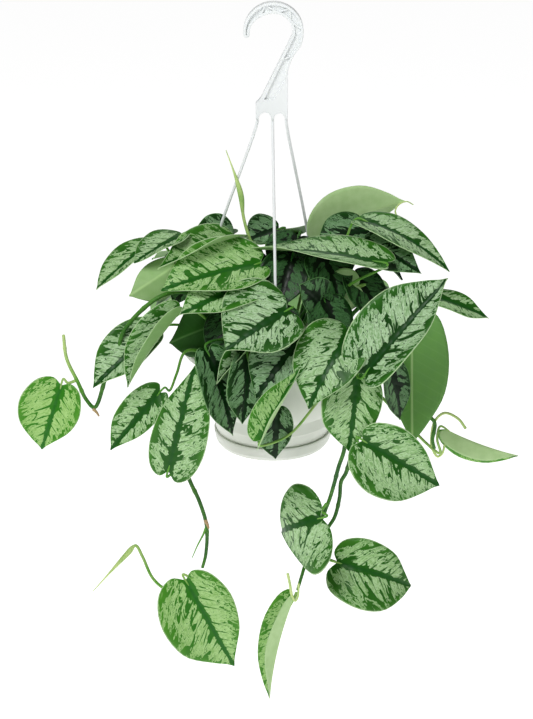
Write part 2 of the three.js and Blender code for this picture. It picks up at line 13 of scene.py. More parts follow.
import bpy
import numpy as np
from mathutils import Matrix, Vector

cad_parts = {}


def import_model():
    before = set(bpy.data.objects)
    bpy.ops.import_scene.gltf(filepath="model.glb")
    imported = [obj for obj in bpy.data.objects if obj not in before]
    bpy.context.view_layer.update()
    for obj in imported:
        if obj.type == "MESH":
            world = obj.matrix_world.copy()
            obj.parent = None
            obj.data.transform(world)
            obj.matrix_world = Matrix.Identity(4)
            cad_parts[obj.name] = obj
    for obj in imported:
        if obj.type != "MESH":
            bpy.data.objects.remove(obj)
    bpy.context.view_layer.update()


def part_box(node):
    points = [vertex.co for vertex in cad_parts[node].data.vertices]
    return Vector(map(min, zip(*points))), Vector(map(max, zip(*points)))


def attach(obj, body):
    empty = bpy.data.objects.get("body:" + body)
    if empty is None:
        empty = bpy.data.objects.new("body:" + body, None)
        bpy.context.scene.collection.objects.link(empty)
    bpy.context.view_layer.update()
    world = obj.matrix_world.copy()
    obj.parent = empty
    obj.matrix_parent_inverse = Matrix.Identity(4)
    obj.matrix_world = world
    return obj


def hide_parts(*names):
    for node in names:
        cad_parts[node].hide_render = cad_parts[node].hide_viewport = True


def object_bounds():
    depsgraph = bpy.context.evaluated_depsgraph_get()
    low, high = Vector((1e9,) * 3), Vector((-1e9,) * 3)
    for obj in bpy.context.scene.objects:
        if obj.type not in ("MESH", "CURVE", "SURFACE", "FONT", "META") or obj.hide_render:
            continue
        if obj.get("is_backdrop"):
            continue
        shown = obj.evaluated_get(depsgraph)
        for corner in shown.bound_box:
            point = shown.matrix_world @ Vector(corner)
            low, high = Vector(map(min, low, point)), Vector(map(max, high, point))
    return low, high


LOG = logging.getLogger("pothos")
MM = 0.001
Point = tuple[float, float, float]
Array = np.ndarray


class Slot(StrEnum):
    """Names of colour slots, which leaves and trails carry as a field."""

    GROWN = "grown_leaf"
    YOUNG = "young_leaf"
    STEM = "stem"
    SHOOT = "new_shoot"


class Side(Enum):
    """The half of a blade that is the fuller one, seen from its upper side."""

    LEFT = -1
    RIGHT = 1


# ---- Colour and node helpers --------------------------------------------------------


def linear(hex_colour: str) -> tuple[float, float, float, float]:
    """Turns an sRGB hex colour to linear.

    Args:
        hex_colour: Six hex digits after a hash sign.

    Returns:
        Linear red, green and blue, with alpha 1.
    """
    parts = [int(hex_colour[i : i + 2], 16) / 255 for i in (1, 3, 5)]
    red, green, blue = (c / 12.92 if c <= 0.04045 else ((c + 0.055) / 1.055) ** 2.4 for c in parts)
    return (red, green, blue, 1.0)


def add(
    tree: bpy.types.NodeTree, kind: str, inputs: dict | None = None, **settings
) -> bpy.types.Node:
    """Adds a node with its settings and its links.

    Args:
        tree: The material's or world's node tree.
        kind: The node's Blender type without its ShaderNode prefix, such as Math.
        inputs: For each input's name or number, a value or the output socket to link.
        **settings: The node's own properties.

    Returns:
        The new node.
    """
    node = tree.nodes.new(f"ShaderNode{kind}")
    for name, value in settings.items():
        setattr(node, name, value)
    for key, value in (inputs or {}).items():
        if isinstance(value, bpy.types.NodeSocket):
            tree.links.new(value, node.inputs[key])
        else:
            node.inputs[key].default_value = value
    return node


def new_material(name: str) -> tuple[bpy.types.Material, bpy.types.NodeTree, bpy.types.Node]:
    """Starts a node material with one Principled shader.

    Args:
        name: The material's name.

    Returns:
        The material, its node tree and the shader.
    """
    material = bpy.data.materials.new(name)
    material.use_nodes = True
    tree = material.node_tree
    tree.nodes.clear()
    shader = add(tree, "BsdfPrincipled")
    add(tree, "OutputMaterial", {"Surface": shader.outputs[0]})
    return material, tree, shader


# ---- Finishes -----------------------------------------------------------------------


@dataclass(frozen=True)
class SatinLeafUpper:
    """The upper face of a satin pothos leaf: waxy green under silver, air-filled blotches.

    The blotches scatter light, so they look matt and pale, and the green between them is
    smoother. Blotches and specks are drawn out along the side veins, which leave the midrib
    about 9 mm apart. Older leaves are bluer and more silvered, young ones fresh and veined.
    """

    old_green: str = "#072C07"
    young_green: str = "#2E7A14"
    old_silver: str = "#7FA674"
    young_silver: str = "#84B65A"
    old_midrib: str = "#0F3F14"
    young_midrib: str = "#1E641A"
    margin: str = "#BFDBA8"
    vein_spacing: float = 9.0
    blotch_across_veins: float = 7.5
    blotch_along_veins: float = 13.0
    speck_size: float = 2.8

    def make(self) -> bpy.types.Material:
        """Builds the material.

        Returns:
            The material.
        """
        material, tree, shader = new_material("satin_leaf_upper")
        place = add(tree, "Attribute", attribute_name="blade_place")
        share = add(tree, "Attribute", attribute_name="blade_share")
        where = add(tree, "SeparateXYZ", {0: place.outputs["Vector"]}).outputs
        shares = add(tree, "SeparateXYZ", {0: share.outputs["Vector"]}).outputs
        across = add(tree, "Math", {0: where[0]}, operation="ABSOLUTE").outputs[0]
        tone = shares[2]

        # Side veins sweep forward as they leave the midrib.
        sweep = add(tree, "Math", {0: across, 1: -0.62, 2: where[1]}, operation="MULTIPLY_ADD")
        bowed = add(tree, "Math", {0: across, 1: across}, operation="MULTIPLY").outputs[0]
        vein = add(
            tree, "Math", {0: bowed, 1: -0.006, 2: sweep.outputs[0]}, operation="MULTIPLY_ADD"
        ).outputs[0]

        def stretched(along: float, between: float, layer: float) -> bpy.types.NodeSocket:
            """Coordinates in cells drawn out along the side veins.

            Args:
                along: The cells' length along a vein, in millimetres.
                between: Their width from vein to vein.
                layer: Keeps two patterns apart.

            Returns:
                The coordinates' socket.
            """
            u = add(tree, "Math", {0: vein, 1: 1 / between}, operation="MULTIPLY").outputs[0]
            v = add(tree, "Math", {0: where[0], 1: 1 / along}, operation="MULTIPLY").outputs[0]
            w = add(tree, "Math", {0: where[2], 1: layer}, operation="ADD").outputs[0]
            return add(tree, "CombineXYZ", {0: u, 1: v, 2: w}).outputs[0]

        blotches = add(
            tree, "TexNoise", {
                "Vector": stretched(self.blotch_along_veins, self.blotch_across_veins, 0.0),
                "Scale": 1.0, "Detail": 2.0, "Roughness": 0.5, "Distortion": 1.0,
            },
        ).outputs[0]
        specks = add(
            tree, "TexNoise", {
                "Vector": stretched(1.5 * self.speck_size, self.speck_size, 40.0),
                "Scale": 1.0, "Detail": 1.0, "Roughness": 0.5, "Distortion": 1.6,
            },
        ).outputs[0]

        # The midrib's green band narrows towards the tip, and its edges feather along the veins.
        taper = add(tree, "MapRange", {0: shares[1], 1: 0.0, 2: 1.0, 3: 1.0, 4: 3.2}).outputs[0]
        reach = add(tree, "Math", {0: across, 1: taper}, operation="MULTIPLY").outputs[0]
        from_midrib = add(tree, "MapRange", {0: reach, 1: 0.8, 2: 7.5, 3: -0.3, 4: 0.12}).outputs[0]
        to_margin = add(tree, "MapRange", {0: shares[0], 1: 0.6, 2: 1.0, 3: 0.0, 4: -0.14}).outputs[0]
        field_sum = add(tree, "Math", {0: blotches, 1: from_midrib}, operation="ADD").outputs[0]
        field_sum = add(tree, "Math", {0: field_sum, 1: to_margin}, operation="ADD").outputs[0]
        silvered = add(tree, "MapRange", {0: field_sum, 1: 0.516, 2: 0.534, 3: 0.0, 4: 1.0}).outputs[0]
        crowd = add(tree, "MapRange", {0: shares[0], 1: 0.3, 2: 0.95, 3: -0.09, 4: 0.09}).outputs[0]
        crowded = add(tree, "Math", {0: specks, 1: crowd}, operation="ADD").outputs[0]
        speckled = add(tree, "MapRange", {0: crowded, 1: 0.60, 2: 0.615, 3: 1.0, 4: 0.0}).outputs[0]
        silvered = add(tree, "Math", {0: silvered, 1: speckled}, operation="MULTIPLY").outputs[0]

        # Thin dark side veins show through the silver, most on young leaves.
        turns = add(
            tree, "Math", {0: vein, 1: math.pi / self.vein_spacing}, operation="MULTIPLY"
        ).outputs[0]
        ridge = add(tree, "Math", {0: turns}, operation="SINE").outputs[0]
        ridge = add(tree, "Math", {0: ridge}, operation="ABSOLUTE").outputs[0]
        broad = add(tree, "MapRange", {0: shares[0], 1: 0.04, 2: 0.55, 3: 0.42, 4: 0.0}).outputs[0]
        ragged = add(tree, "MapRange", {0: blotches, 1: 0.35, 2: 0.65, 3: 1.9, 4: 0.1}).outputs[0]
        broad = add(tree, "Math", {0: broad, 1: ragged}, operation="MULTIPLY").outputs[0]
        line = add(tree, "Math", {0: ridge, 1: broad}, operation="LESS_THAN").outputs[0]
        shown = add(tree, "MapRange", {0: tone, 1: 0.0, 2: 1.0, 3: 0.65, 4: 1.0}).outputs[0]
        line = add(tree, "Math", {0: line, 1: shown}, operation="MULTIPLY").outputs[0]
        unlined = add(tree, "Math", {0: 1.0, 1: line}, operation="SUBTRACT").outputs[0]
        silvered = add(tree, "Math", {0: silvered, 1: unlined}, operation="MULTIPLY").outputs[0]

        def aged(old: str, young: str) -> bpy.types.NodeSocket:
            """A colour between two shades, by the leaf's tone.

            Args:
                old: The shade of an old leaf.
                young: The shade of a young one.

            Returns:
                The colour's socket.
            """
            return add(
                tree,
                "Mix",
                {0: tone, 6: linear(old), 7: linear(young)},
                data_type="RGBA",
            ).outputs[2]

        drift = add(
            tree, "TexNoise", {"Vector": place.outputs["Vector"], "Scale": 0.06, "Detail": 2.0}
        ).outputs[0]
        green = aged(self.old_green, self.young_green)
        lighter = aged("#3B8428", "#6AAE36")
        edge = add(tree, "Math", {0: shares[0], 1: 3.0}, operation="POWER").outputs[0]
        fresh = add(tree, "Math", {0: drift, 1: edge}, operation="MULTIPLY").outputs[0]
        green = add(tree, "Mix", {0: fresh, 6: green, 7: lighter}, data_type="RGBA").outputs[2]
        silver = aged(self.old_silver, self.young_silver)
        paler = aged("#BAD6B2", "#AAD282")
        cloud = add(tree, "MapRange", {0: specks, 1: 0.32, 2: 0.6, 3: 0.0, 4: 1.0}).outputs[0]
        silver = add(tree, "Mix", {0: cloud, 6: silver, 7: paler}, data_type="RGBA").outputs[2]
        colour = add(tree, "Mix", {0: silvered, 6: green, 7: silver}, data_type="RGBA").outputs[2]
        rib = add(tree, "MapRange", {0: across, 1: 0.5, 2: 2.4, 3: 0.7, 4: 0.0}).outputs[0]
        colour = add(
            tree, "Mix", {
                0: rib, 6: colour, 7: aged(self.old_midrib, self.young_midrib),
            }, data_type="RGBA",
        ).outputs[2]
        rim = add(tree, "MapRange", {0: shares[0], 1: 0.972, 2: 0.985, 3: 0.0, 4: 0.85}).outputs[0]
        colour = add(
            tree, "Mix", {0: rim, 6: colour, 7: linear(self.margin)}, data_type="RGBA"
        ).outputs[2]
        # Painted shade: a tone below 0 darkens the colour, red and blue most, for leaves shaded deep in
        # the crown.
        depth = add(tree, "MapRange", {0: tone, 1: -1.0, 2: 0.0, 3: 0.33, 4: 1.0}).outputs[0]
        depth = add(tree, "Math", {0: depth, 1: 2.0}, operation="POWER").outputs[0]
        painted_shade_red_blue = add(tree, "Math", {0: depth, 1: 1.5}, operation="POWER").outputs[0]
        painted_shade_tint = add(tree, "CombineXYZ", {0: painted_shade_red_blue, 1: depth, 2: painted_shade_red_blue}).outputs[0]
        colour = add(
            tree, "Mix", {0: 1.0, 6: colour, 7: painted_shade_tint}, data_type="RGBA", blend_type="MULTIPLY"
        ).outputs[2]
        rough = add(tree, "MapRange", {0: silvered, 1: 0.0, 2: 1.0, 3: 0.38, 4: 0.55}).outputs[0]
        faint = add(tree, "Math", {0: silvered, 1: 0.25}, operation="MULTIPLY").outputs[0]
        height = add(tree, "Math", {0: ridge, 1: faint}, operation="ADD").outputs[0]
        bump = add(tree, "Bump", {"Height": height, "Distance": 0.0005, "Strength": 0.5})
        tree.links.new(colour, shader.inputs["Base Color"])
        tree.links.new(rough, shader.inputs["Roughness"])
        tree.links.new(bump.outputs[0], shader.inputs["Normal"])
        shader.inputs["Specular IOR Level"].default_value = 0.22
        return material


@dataclass(frozen=True)
class LeafUnderside:
    """The matt underside: pale yellow-green on young leaves, with faintly raised veins."""

    old: str = "#4C8A30"
    young: str = "#C0DEA2"
    vein_spacing: float = 9.0

    def make(self) -> bpy.types.Material:
        """Builds the material.

        Returns:
            The material.
        """
        material, tree, shader = new_material("leaf_underside")
        place = add(tree, "Attribute", attribute_name="blade_place")
        share = add(tree, "Attribute", attribute_name="blade_share")
        where = add(tree, "SeparateXYZ", {0: place.outputs["Vector"]}).outputs
        shares = add(tree, "SeparateXYZ", {0: share.outputs["Vector"]}).outputs
        across = add(tree, "Math", {0: where[0]}, operation="ABSOLUTE").outputs[0]
        vein = add(
            tree, "Math", {0: across, 1: -0.62, 2: where[1]}, operation="MULTIPLY_ADD"
        ).outputs[0]
        turns = add(
            tree, "Math", {0: vein, 1: math.pi / self.vein_spacing}, operation="MULTIPLY"
        ).outputs[0]
        ridge = add(tree, "Math", {0: turns}, operation="SINE").outputs[0]
        ridge = add(tree, "Math", {0: ridge}, operation="ABSOLUTE").outputs[0]
        line = add(tree, "MapRange", {0: ridge, 1: 0.0, 2: 0.3, 3: 0.05, 4: 0.0}).outputs[0]
        rib = add(tree, "MapRange", {0: across, 1: 0.4, 2: 1.4, 3: 0.55, 4: 0.0}).outputs[0]
        marks = add(tree, "Math", {0: line, 1: rib}, operation="MAXIMUM").outputs[0]
        base = add(
            tree, "Mix", {0: shares[2], 6: linear(self.old), 7: linear(self.young)}, data_type="RGBA"
        ).outputs[2]
        mottle = add(
            tree, "TexNoise", {"Vector": place.outputs["Vector"], "Scale": 0.12, "Detail": 3.0}
        ).outputs[0]
        soft = add(tree, "MapRange", {0: mottle, 1: 0.3, 2: 0.7, 3: 0.0, 4: 0.25}).outputs[0]
        base = add(tree, "Mix", {0: soft, 6: base, 7: linear("#6DA63F")}, data_type="RGBA").outputs[2]
        colour = add(
            tree, "Mix", {0: marks, 6: base, 7: linear("#BFE09A")}, data_type="RGBA"
        ).outputs[2]
        # Painted shade: a tone below 0 darkens the underside, red and blue most, for leaves shaded deep
        # in the crown.
        depth = add(tree, "MapRange", {0: shares[2], 1: -1.0, 2: 0.0, 3: 0.15, 4: 1.0}).outputs[0]
        painted_shade_red_blue = add(tree, "Math", {0: depth, 1: 1.5}, operation="POWER").outputs[0]
        painted_shade_tint = add(tree, "CombineXYZ", {0: painted_shade_red_blue, 1: depth, 2: painted_shade_red_blue}).outputs[0]
        colour = add(
            tree, "Mix", {0: 1.0, 6: colour, 7: painted_shade_tint}, data_type="RGBA", blend_type="MULTIPLY"
        ).outputs[2]
        bump = add(tree, "Bump", {"Height": marks, "Distance": 0.0002, "Strength": 0.5})
        tree.links.new(colour, shader.inputs["Base Color"])
        tree.links.new(bump.outputs[0], shader.inputs["Normal"])
        shader.inputs["Roughness"].default_value = 0.55
        shader.inputs["IOR"].default_value = 1.36
        return material


@dataclass(frozen=True)
class StemSkin:
    """The smooth, faintly waxy skin of stems and stalks, dark when old and pale when new.

    Its age is the stem_age attribute, 0 to 1. Pale lenticels about 1 mm long dot it.
    """

    old: str = "#195616"
    grown: str = "#62A038"
    new: str = "#CFE295"
    lenticel: str = "#C9DDA0"

    def make(self) -> bpy.types.Material:
        """Builds the material.

        Returns:
            The material.
        """
        material, tree, shader = new_material("green_stem_skin")
        where = add(tree, "TexCoord").outputs["Object"]
        age = add(tree, "Attribute", attribute_name="stem_age").outputs["Fac"]
        drift = add(tree, "TexNoise", {"Vector": where, "Scale": 60.0, "Detail": 3.0}).outputs[0]
        dots = add(tree, "TexNoise", {"Vector": where, "Scale": 900.0, "Detail": 1.0}).outputs[0]
        sway = add(tree, "MapRange", {0: drift, 1: 0.3, 2: 0.7, 3: -0.15, 4: 0.15}).outputs[0]
        age = add(tree, "Math", {0: age, 1: sway}, operation="ADD").outputs[0]
        early = add(tree, "MapRange", {0: age, 1: 0.0, 2: 0.5, 3: 0.0, 4: 1.0}).outputs[0]
        late = add(tree, "MapRange", {0: age, 1: 0.5, 2: 1.0, 3: 0.0, 4: 1.0}).outputs[0]
        colour = add(
            tree, "Mix", {0: early, 6: linear(self.old), 7: linear(self.grown)}, data_type="RGBA"
        ).outputs[2]
        colour = add(
            tree, "Mix", {0: late, 6: colour, 7: linear(self.new)}, data_type="RGBA"
        ).outputs[2]
        pale = add(tree, "MapRange", {0: dots, 1: 0.62, 2: 0.7, 3: 0.0, 4: 0.2}).outputs[0]
        colour = add(
            tree, "Mix", {0: pale, 6: colour, 7: linear(self.lenticel)}, data_type="RGBA"
        ).outputs[2]
        bump = add(tree, "Bump", {"Height": drift, "Distance": 0.0003, "Strength": 0.4})
        tree.links.new(colour, shader.inputs["Base Color"])
        tree.links.new(bump.outputs[0], shader.inputs["Normal"])
        shader.inputs["Roughness"].default_value = 0.42
        shader.inputs["Specular IOR Level"].default_value = 0.25
        return material


@dataclass(frozen=True)
class DryScale:
    """The papery brown scale round a resting bud or an air root, streaked every 0.5 mm."""

    light: str = "#C9AC82"
    dark: str = "#8C7048"

    def make(self) -> bpy.types.Material:
        """Builds the material.

        Returns:
            The material.
        """
        material, tree, shader = new_material("dry_bud_scale")
        where = add(tree, "TexCoord").outputs["Object"]
        streaks = add(tree, "TexNoise", {"Vector": where, "Scale": 1800.0, "Detail": 3.0}).outputs[0]
        colour = add(
            tree, "Mix", {0: streaks, 6: linear(self.dark), 7: linear(self.light)}, data_type="RGBA"
        ).outputs[2]
        tree.links.new(colour, shader.inputs["Base Color"])
        shader.inputs["Roughness"].default_value = 0.8
        return material


@dataclass(frozen=True)
class MouldedPolypropylene:
    """Injection-moulded polypropylene: satin from the mould, milky, with faint flow marks."""

    name: str
    colour: str
    shade: str
    roughness: float = 0.38

    def make(self) -> bpy.types.Material:
        """Builds the material.

        Returns:
            The material.
        """
        material, tree, shader = new_material(self.name)
        where = add(tree, "TexCoord").outputs["Object"]
        flow = add(tree, "TexNoise", {"Vector": where, "Scale": 18.0, "Detail": 3.0}).outputs[0]
        grain = add(tree, "TexNoise", {"Vector": where, "Scale": 1400.0, "Detail": 2.0}).outputs[0]
        mixed = add(tree, "MapRange", {0: flow, 1: 0.35, 2: 0.65, 3: 0.0, 4: 1.0}).outputs[0]
        colour = add(
            tree, "Mix", {0: mixed, 6: linear(self.colour), 7: linear(self.shade)}, data_type="RGBA"
        ).outputs[2]
        rough = add(
            tree, "MapRange", {
                0: grain, 1: 0.3, 2: 0.7, 3: self.roughness - 0.05, 4: self.roughness + 0.07,
            },
        ).outputs[0]
        bump = add(tree, "Bump", {"Height": grain, "Distance": 0.00002, "Strength": 0.15})
        tree.links.new(colour, shader.inputs["Base Color"])
        tree.links.new(rough, shader.inputs["Roughness"])
        tree.links.new(bump.outputs[0], shader.inputs["Normal"])
        shader.inputs["IOR"].default_value = 1.49
        shader.inputs["Subsurface Weight"].default_value = 0.08
        shader.inputs["Subsurface Radius"].default_value = (0.004, 0.004, 0.0035)
        return material


@dataclass(frozen=True)
class PottingMix:
    """Damp peat with bark crumbs and pale perlite grains, 1 to 4 mm across."""

    peat: str = "#2A1C12"
    bark: str = "#5B4430"
    perlite: str = "#CFC9BC"

    def make(self) -> bpy.types.Material:
        """Builds the material.

        Returns:
            The material.
        """
        material, tree, shader = new_material("potting_mix_peat")
        where = add(tree, "TexCoord").outputs["Object"]
        crumbs = add(tree, "TexVoronoi", {"Vector": where, "Scale": 350.0})
        grains = add(tree, "TexNoise", {"Vector": where, "Scale": 500.0, "Detail": 5.0}).outputs[0]
        mixed = add(tree, "MapRange", {0: grains, 1: 0.35, 2: 0.65, 3: 0.0, 4: 1.0}).outputs[0]
        colour = add(
            tree, "Mix", {0: mixed, 6: linear(self.peat), 7: linear(self.bark)}, data_type="RGBA"
        ).outputs[2]
        pick = add(tree, "SeparateColor", {0: crumbs.outputs["Color"]}).outputs[0]
        pale = add(tree, "MapRange", {0: pick, 1: 0.93, 2: 0.95, 3: 0.0, 4: 1.0}).outputs[0]
        colour = add(
            tree, "Mix", {0: pale, 6: colour, 7: linear(self.perlite)}, data_type="RGBA"
        ).outputs[2]
        bump = add(
            tree, "Bump", {"Height": crumbs.outputs["Distance"], "Distance": 0.002, "Strength": 0.9}
        )
        tree.links.new(colour, shader.inputs["Base Color"])
        tree.links.new(bump.outputs[0], shader.inputs["Normal"])
        shader.inputs["Roughness"].default_value = 0.9
        return material


@dataclass
class Finishes:
    """Every finish that the object's pieces share, built once."""

    upper: bpy.types.Material = field(default_factory=lambda: SatinLeafUpper().make())
    under: bpy.types.Material = field(default_factory=lambda: LeafUnderside().make())
    stem: bpy.types.Material = field(default_factory=lambda: StemSkin().make())
    bud: bpy.types.Material = field(default_factory=lambda: DryScale().make())
    pot: bpy.types.Material = field(
        default_factory=lambda: MouldedPolypropylene(
            "polypropylene_off_white", "#E3E6DE", "#DADDD3"
        ).make()
    )
    hanger: bpy.types.Material = field(
        default_factory=lambda: MouldedPolypropylene("polypropylene_white", "#EDF0F0", "#E5E9E9").make()
    )
    soil: bpy.types.Material = field(default_factory=lambda: PottingMix().make())


# ---- Mesh helpers -------------------------------------------------------------------


def unit(vector: Array) -> Array:
    """The vectors scaled to length one, along the last axis."""
    return vector / np.maximum(np.linalg.norm(vector, axis=-1, keepdims=True), 1e-12)


def heading(azimuth: float, elevation: float) -> Array:
    """The unit vector that looks along an azimuth (0 front, 90 right) and an elevation."""
    a, e = math.radians(azimuth), math.radians(elevation)
    return np.array([math.sin(a) * math.cos(e), -math.cos(a) * math.cos(e), math.sin(e)])


def spline(points: Sequence[Sequence[float]], at: Array) -> Array:
    """A centripetal Catmull-Rom curve through points.

    Args:
        points: The points that the curve passes through.
        at: Places along the curve, 0 to 1, spread evenly over the points.

    Returns:
        One point of the curve for each place.
    """
    knots = np.asarray(points, dtype=float)
    first = 2 * knots[0] - knots[1]
    last = 2 * knots[-1] - knots[-2]
    knots = np.vstack([first, knots, last])
    steps = np.sqrt(np.linalg.norm(np.diff(knots, axis=0), axis=1))
    steps = np.maximum(steps, 1e-6)
    place = np.clip(np.asarray(at), 0, 1) * (len(points) - 1)
    span = np.minimum(place.astype(int), len(points) - 2)
    share = place - span
    result = np.zeros((len(span), knots.shape[1]))
    for i, (k, u) in enumerate(zip(span, share)):
        p0, p1, p2, p3 = knots[k : k + 4]
        d0, d1, d2 = steps[k : k + 3]
        m1 = (p1 - p0) / d0 - (p2 - p0) / (d0 + d1) + (p2 - p1) / d1
        m2 = (p2 - p1) / d1 - (p3 - p1) / (d1 + d2) + (p3 - p2) / d2
        m1, m2 = m1 * d1, m2 * d1
        result[i] = (
            (2 * u**3 - 3 * u**2 + 1) * p1
            + (u**3 - 2 * u**2 + u) * m1
            + (-2 * u**3 + 3 * u**2) * p2
            + (u**3 - u**2) * m2
        )
    return result


def new_object(
    name: str,
    vertices: Array,
    faces: Sequence[Sequence[int]],
    materials: Sequence[bpy.types.Material],
    slots: Sequence[int] | None = None,
) -> bpy.types.Object:
    """Makes a smooth-shaded mesh object that rides on the root body.

    Args:
        name: The piece's name.
        vertices: Its points in millimetres, in the row's frame.
        faces: Its faces, each a sequence of vertex numbers.
        materials: Its materials, in slot order.
        slots: The slot of each face, if there is more than one.

    Returns:
        The new object.
    """
    mesh = bpy.data.meshes.new(name)
    mesh.from_pydata((np.asarray(vertices) * MM).tolist(), [], [list(f) for f in faces])
    for material in materials:
        mesh.materials.append(material)
    if slots is not None:
        mesh.polygons.foreach_set("material_index", np.asarray(slots, dtype=np.int32))
    mesh.shade_smooth()
    mesh.update()
    piece = bpy.data.objects.new(name, mesh)
    bpy.context.scene.collection.objects.link(piece)
    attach(piece, "root")
    return piece


def sweep(path: Array, radii: Array, sides: int) -> tuple[Array, list[list[int]]]:
    """A closed round rod along a path, with rounded ends.

    Args:
        path: The rod's centre line, one point per ring.
        radii: The rod's radius at each ring.
        sides: Points round each ring.

    Returns:
        Its vertices and faces.
    """
    tangents = unit(np.gradient(path, axis=0))
    side = np.cross(tangents[0], [0.3, 0.2, 1.0])
    rings = []
    angles = np.linspace(0, 2 * np.pi, sides, endpoint=False)
    for point, tangent, radius in zip(path, tangents, radii):
        side = unit(side - tangent * np.dot(side, tangent))
        other = np.cross(tangent, side)
        turned = np.cos(angles)[:, None] * side + np.sin(angles)[:, None] * other
        rings.append(point + radius * turned)
    start = path[0] - tangents[0] * radii[0] * 0.6
    end = path[-1] + tangents[-1] * radii[-1] * 0.6
    vertices = np.vstack([*rings, start, end])
    count = len(path)
    faces = []
    for ring in range(count - 1):
        for k in range(sides):
            n = (k + 1) % sides
            here, ahead = ring * sides, (ring + 1) * sides
            faces.append([here + k, here + n, ahead + n, ahead + k])
    first, last = count * sides, count * sides + 1
    for k in range(sides):
        n = (k + 1) % sides
        faces.append([first, n, k])
        faces.append([last, (count - 1) * sides + k, (count - 1) * sides + n])
    return vertices, faces


def turned(profile: Sequence[Sequence[float]], steps: int) -> tuple[Array, list[list[int]]]:
    """A solid turned about Z.

    Args:
        profile: Its closed section as (radius, height), starting and ending on the axis.
        steps: Points round the axis.

    Returns:
        Its vertices and faces.
    """
    ring = np.asarray(profile[1:-1], dtype=float)
    count = len(ring)
    angles = np.linspace(0, 2 * np.pi, steps, endpoint=False)
    vertices = np.zeros((steps, count, 3))
    vertices[..., 0] = np.sin(angles)[:, None] * ring[:, 0]
    vertices[..., 1] = -np.cos(angles)[:, None] * ring[:, 0]
    vertices[..., 2] = ring[:, 1]
    flat = vertices.reshape(-1, 3)
    ends = np.array([[0, 0, profile[0][1]], [0, 0, profile[-1][1]]])
    first, last = len(flat), len(flat) + 1
    faces = []
    for k in range(steps):
        n = (k + 1) % steps
        faces.append([first, n * count, k * count])
        faces.append([last, k * count + count - 1, n * count + count - 1])
        for i in range(count - 1):
            faces.append([k * count + i, n * count + i, n * count + i + 1, k * count + i + 1])
    return np.vstack([flat, ends]), faces


def rounded(profile: Sequence[Sequence[float]], radius: float) -> list[list[float]]:
    """Rounds the corners of an open profile by up to a radius.

    Args:
        profile: Corner points.
        radius: How far from each corner its round starts.

    Returns:
        The profile with three points in place of each inner corner.
    """
    points = np.asarray(profile, dtype=float)
    result = [points[0].tolist()]
    for before, corner, after in zip(points, points[1:], points[2:]):
        back, on = before - corner, after - corner
        reach = min(radius, 0.4 * np.linalg.norm(back), 0.4 * np.linalg.norm(on))
        start = corner + unit(back) * reach
        end = corner + unit(on) * reach
        middle = 0.25 * start + 0.5 * corner + 0.25 * end
        result += [start.tolist(), middle.tolist(), end.tolist()]
    result.append(points[-1].tolist())
    return result


# ---- Pot, saucer and soil -----------------------------------------------------------


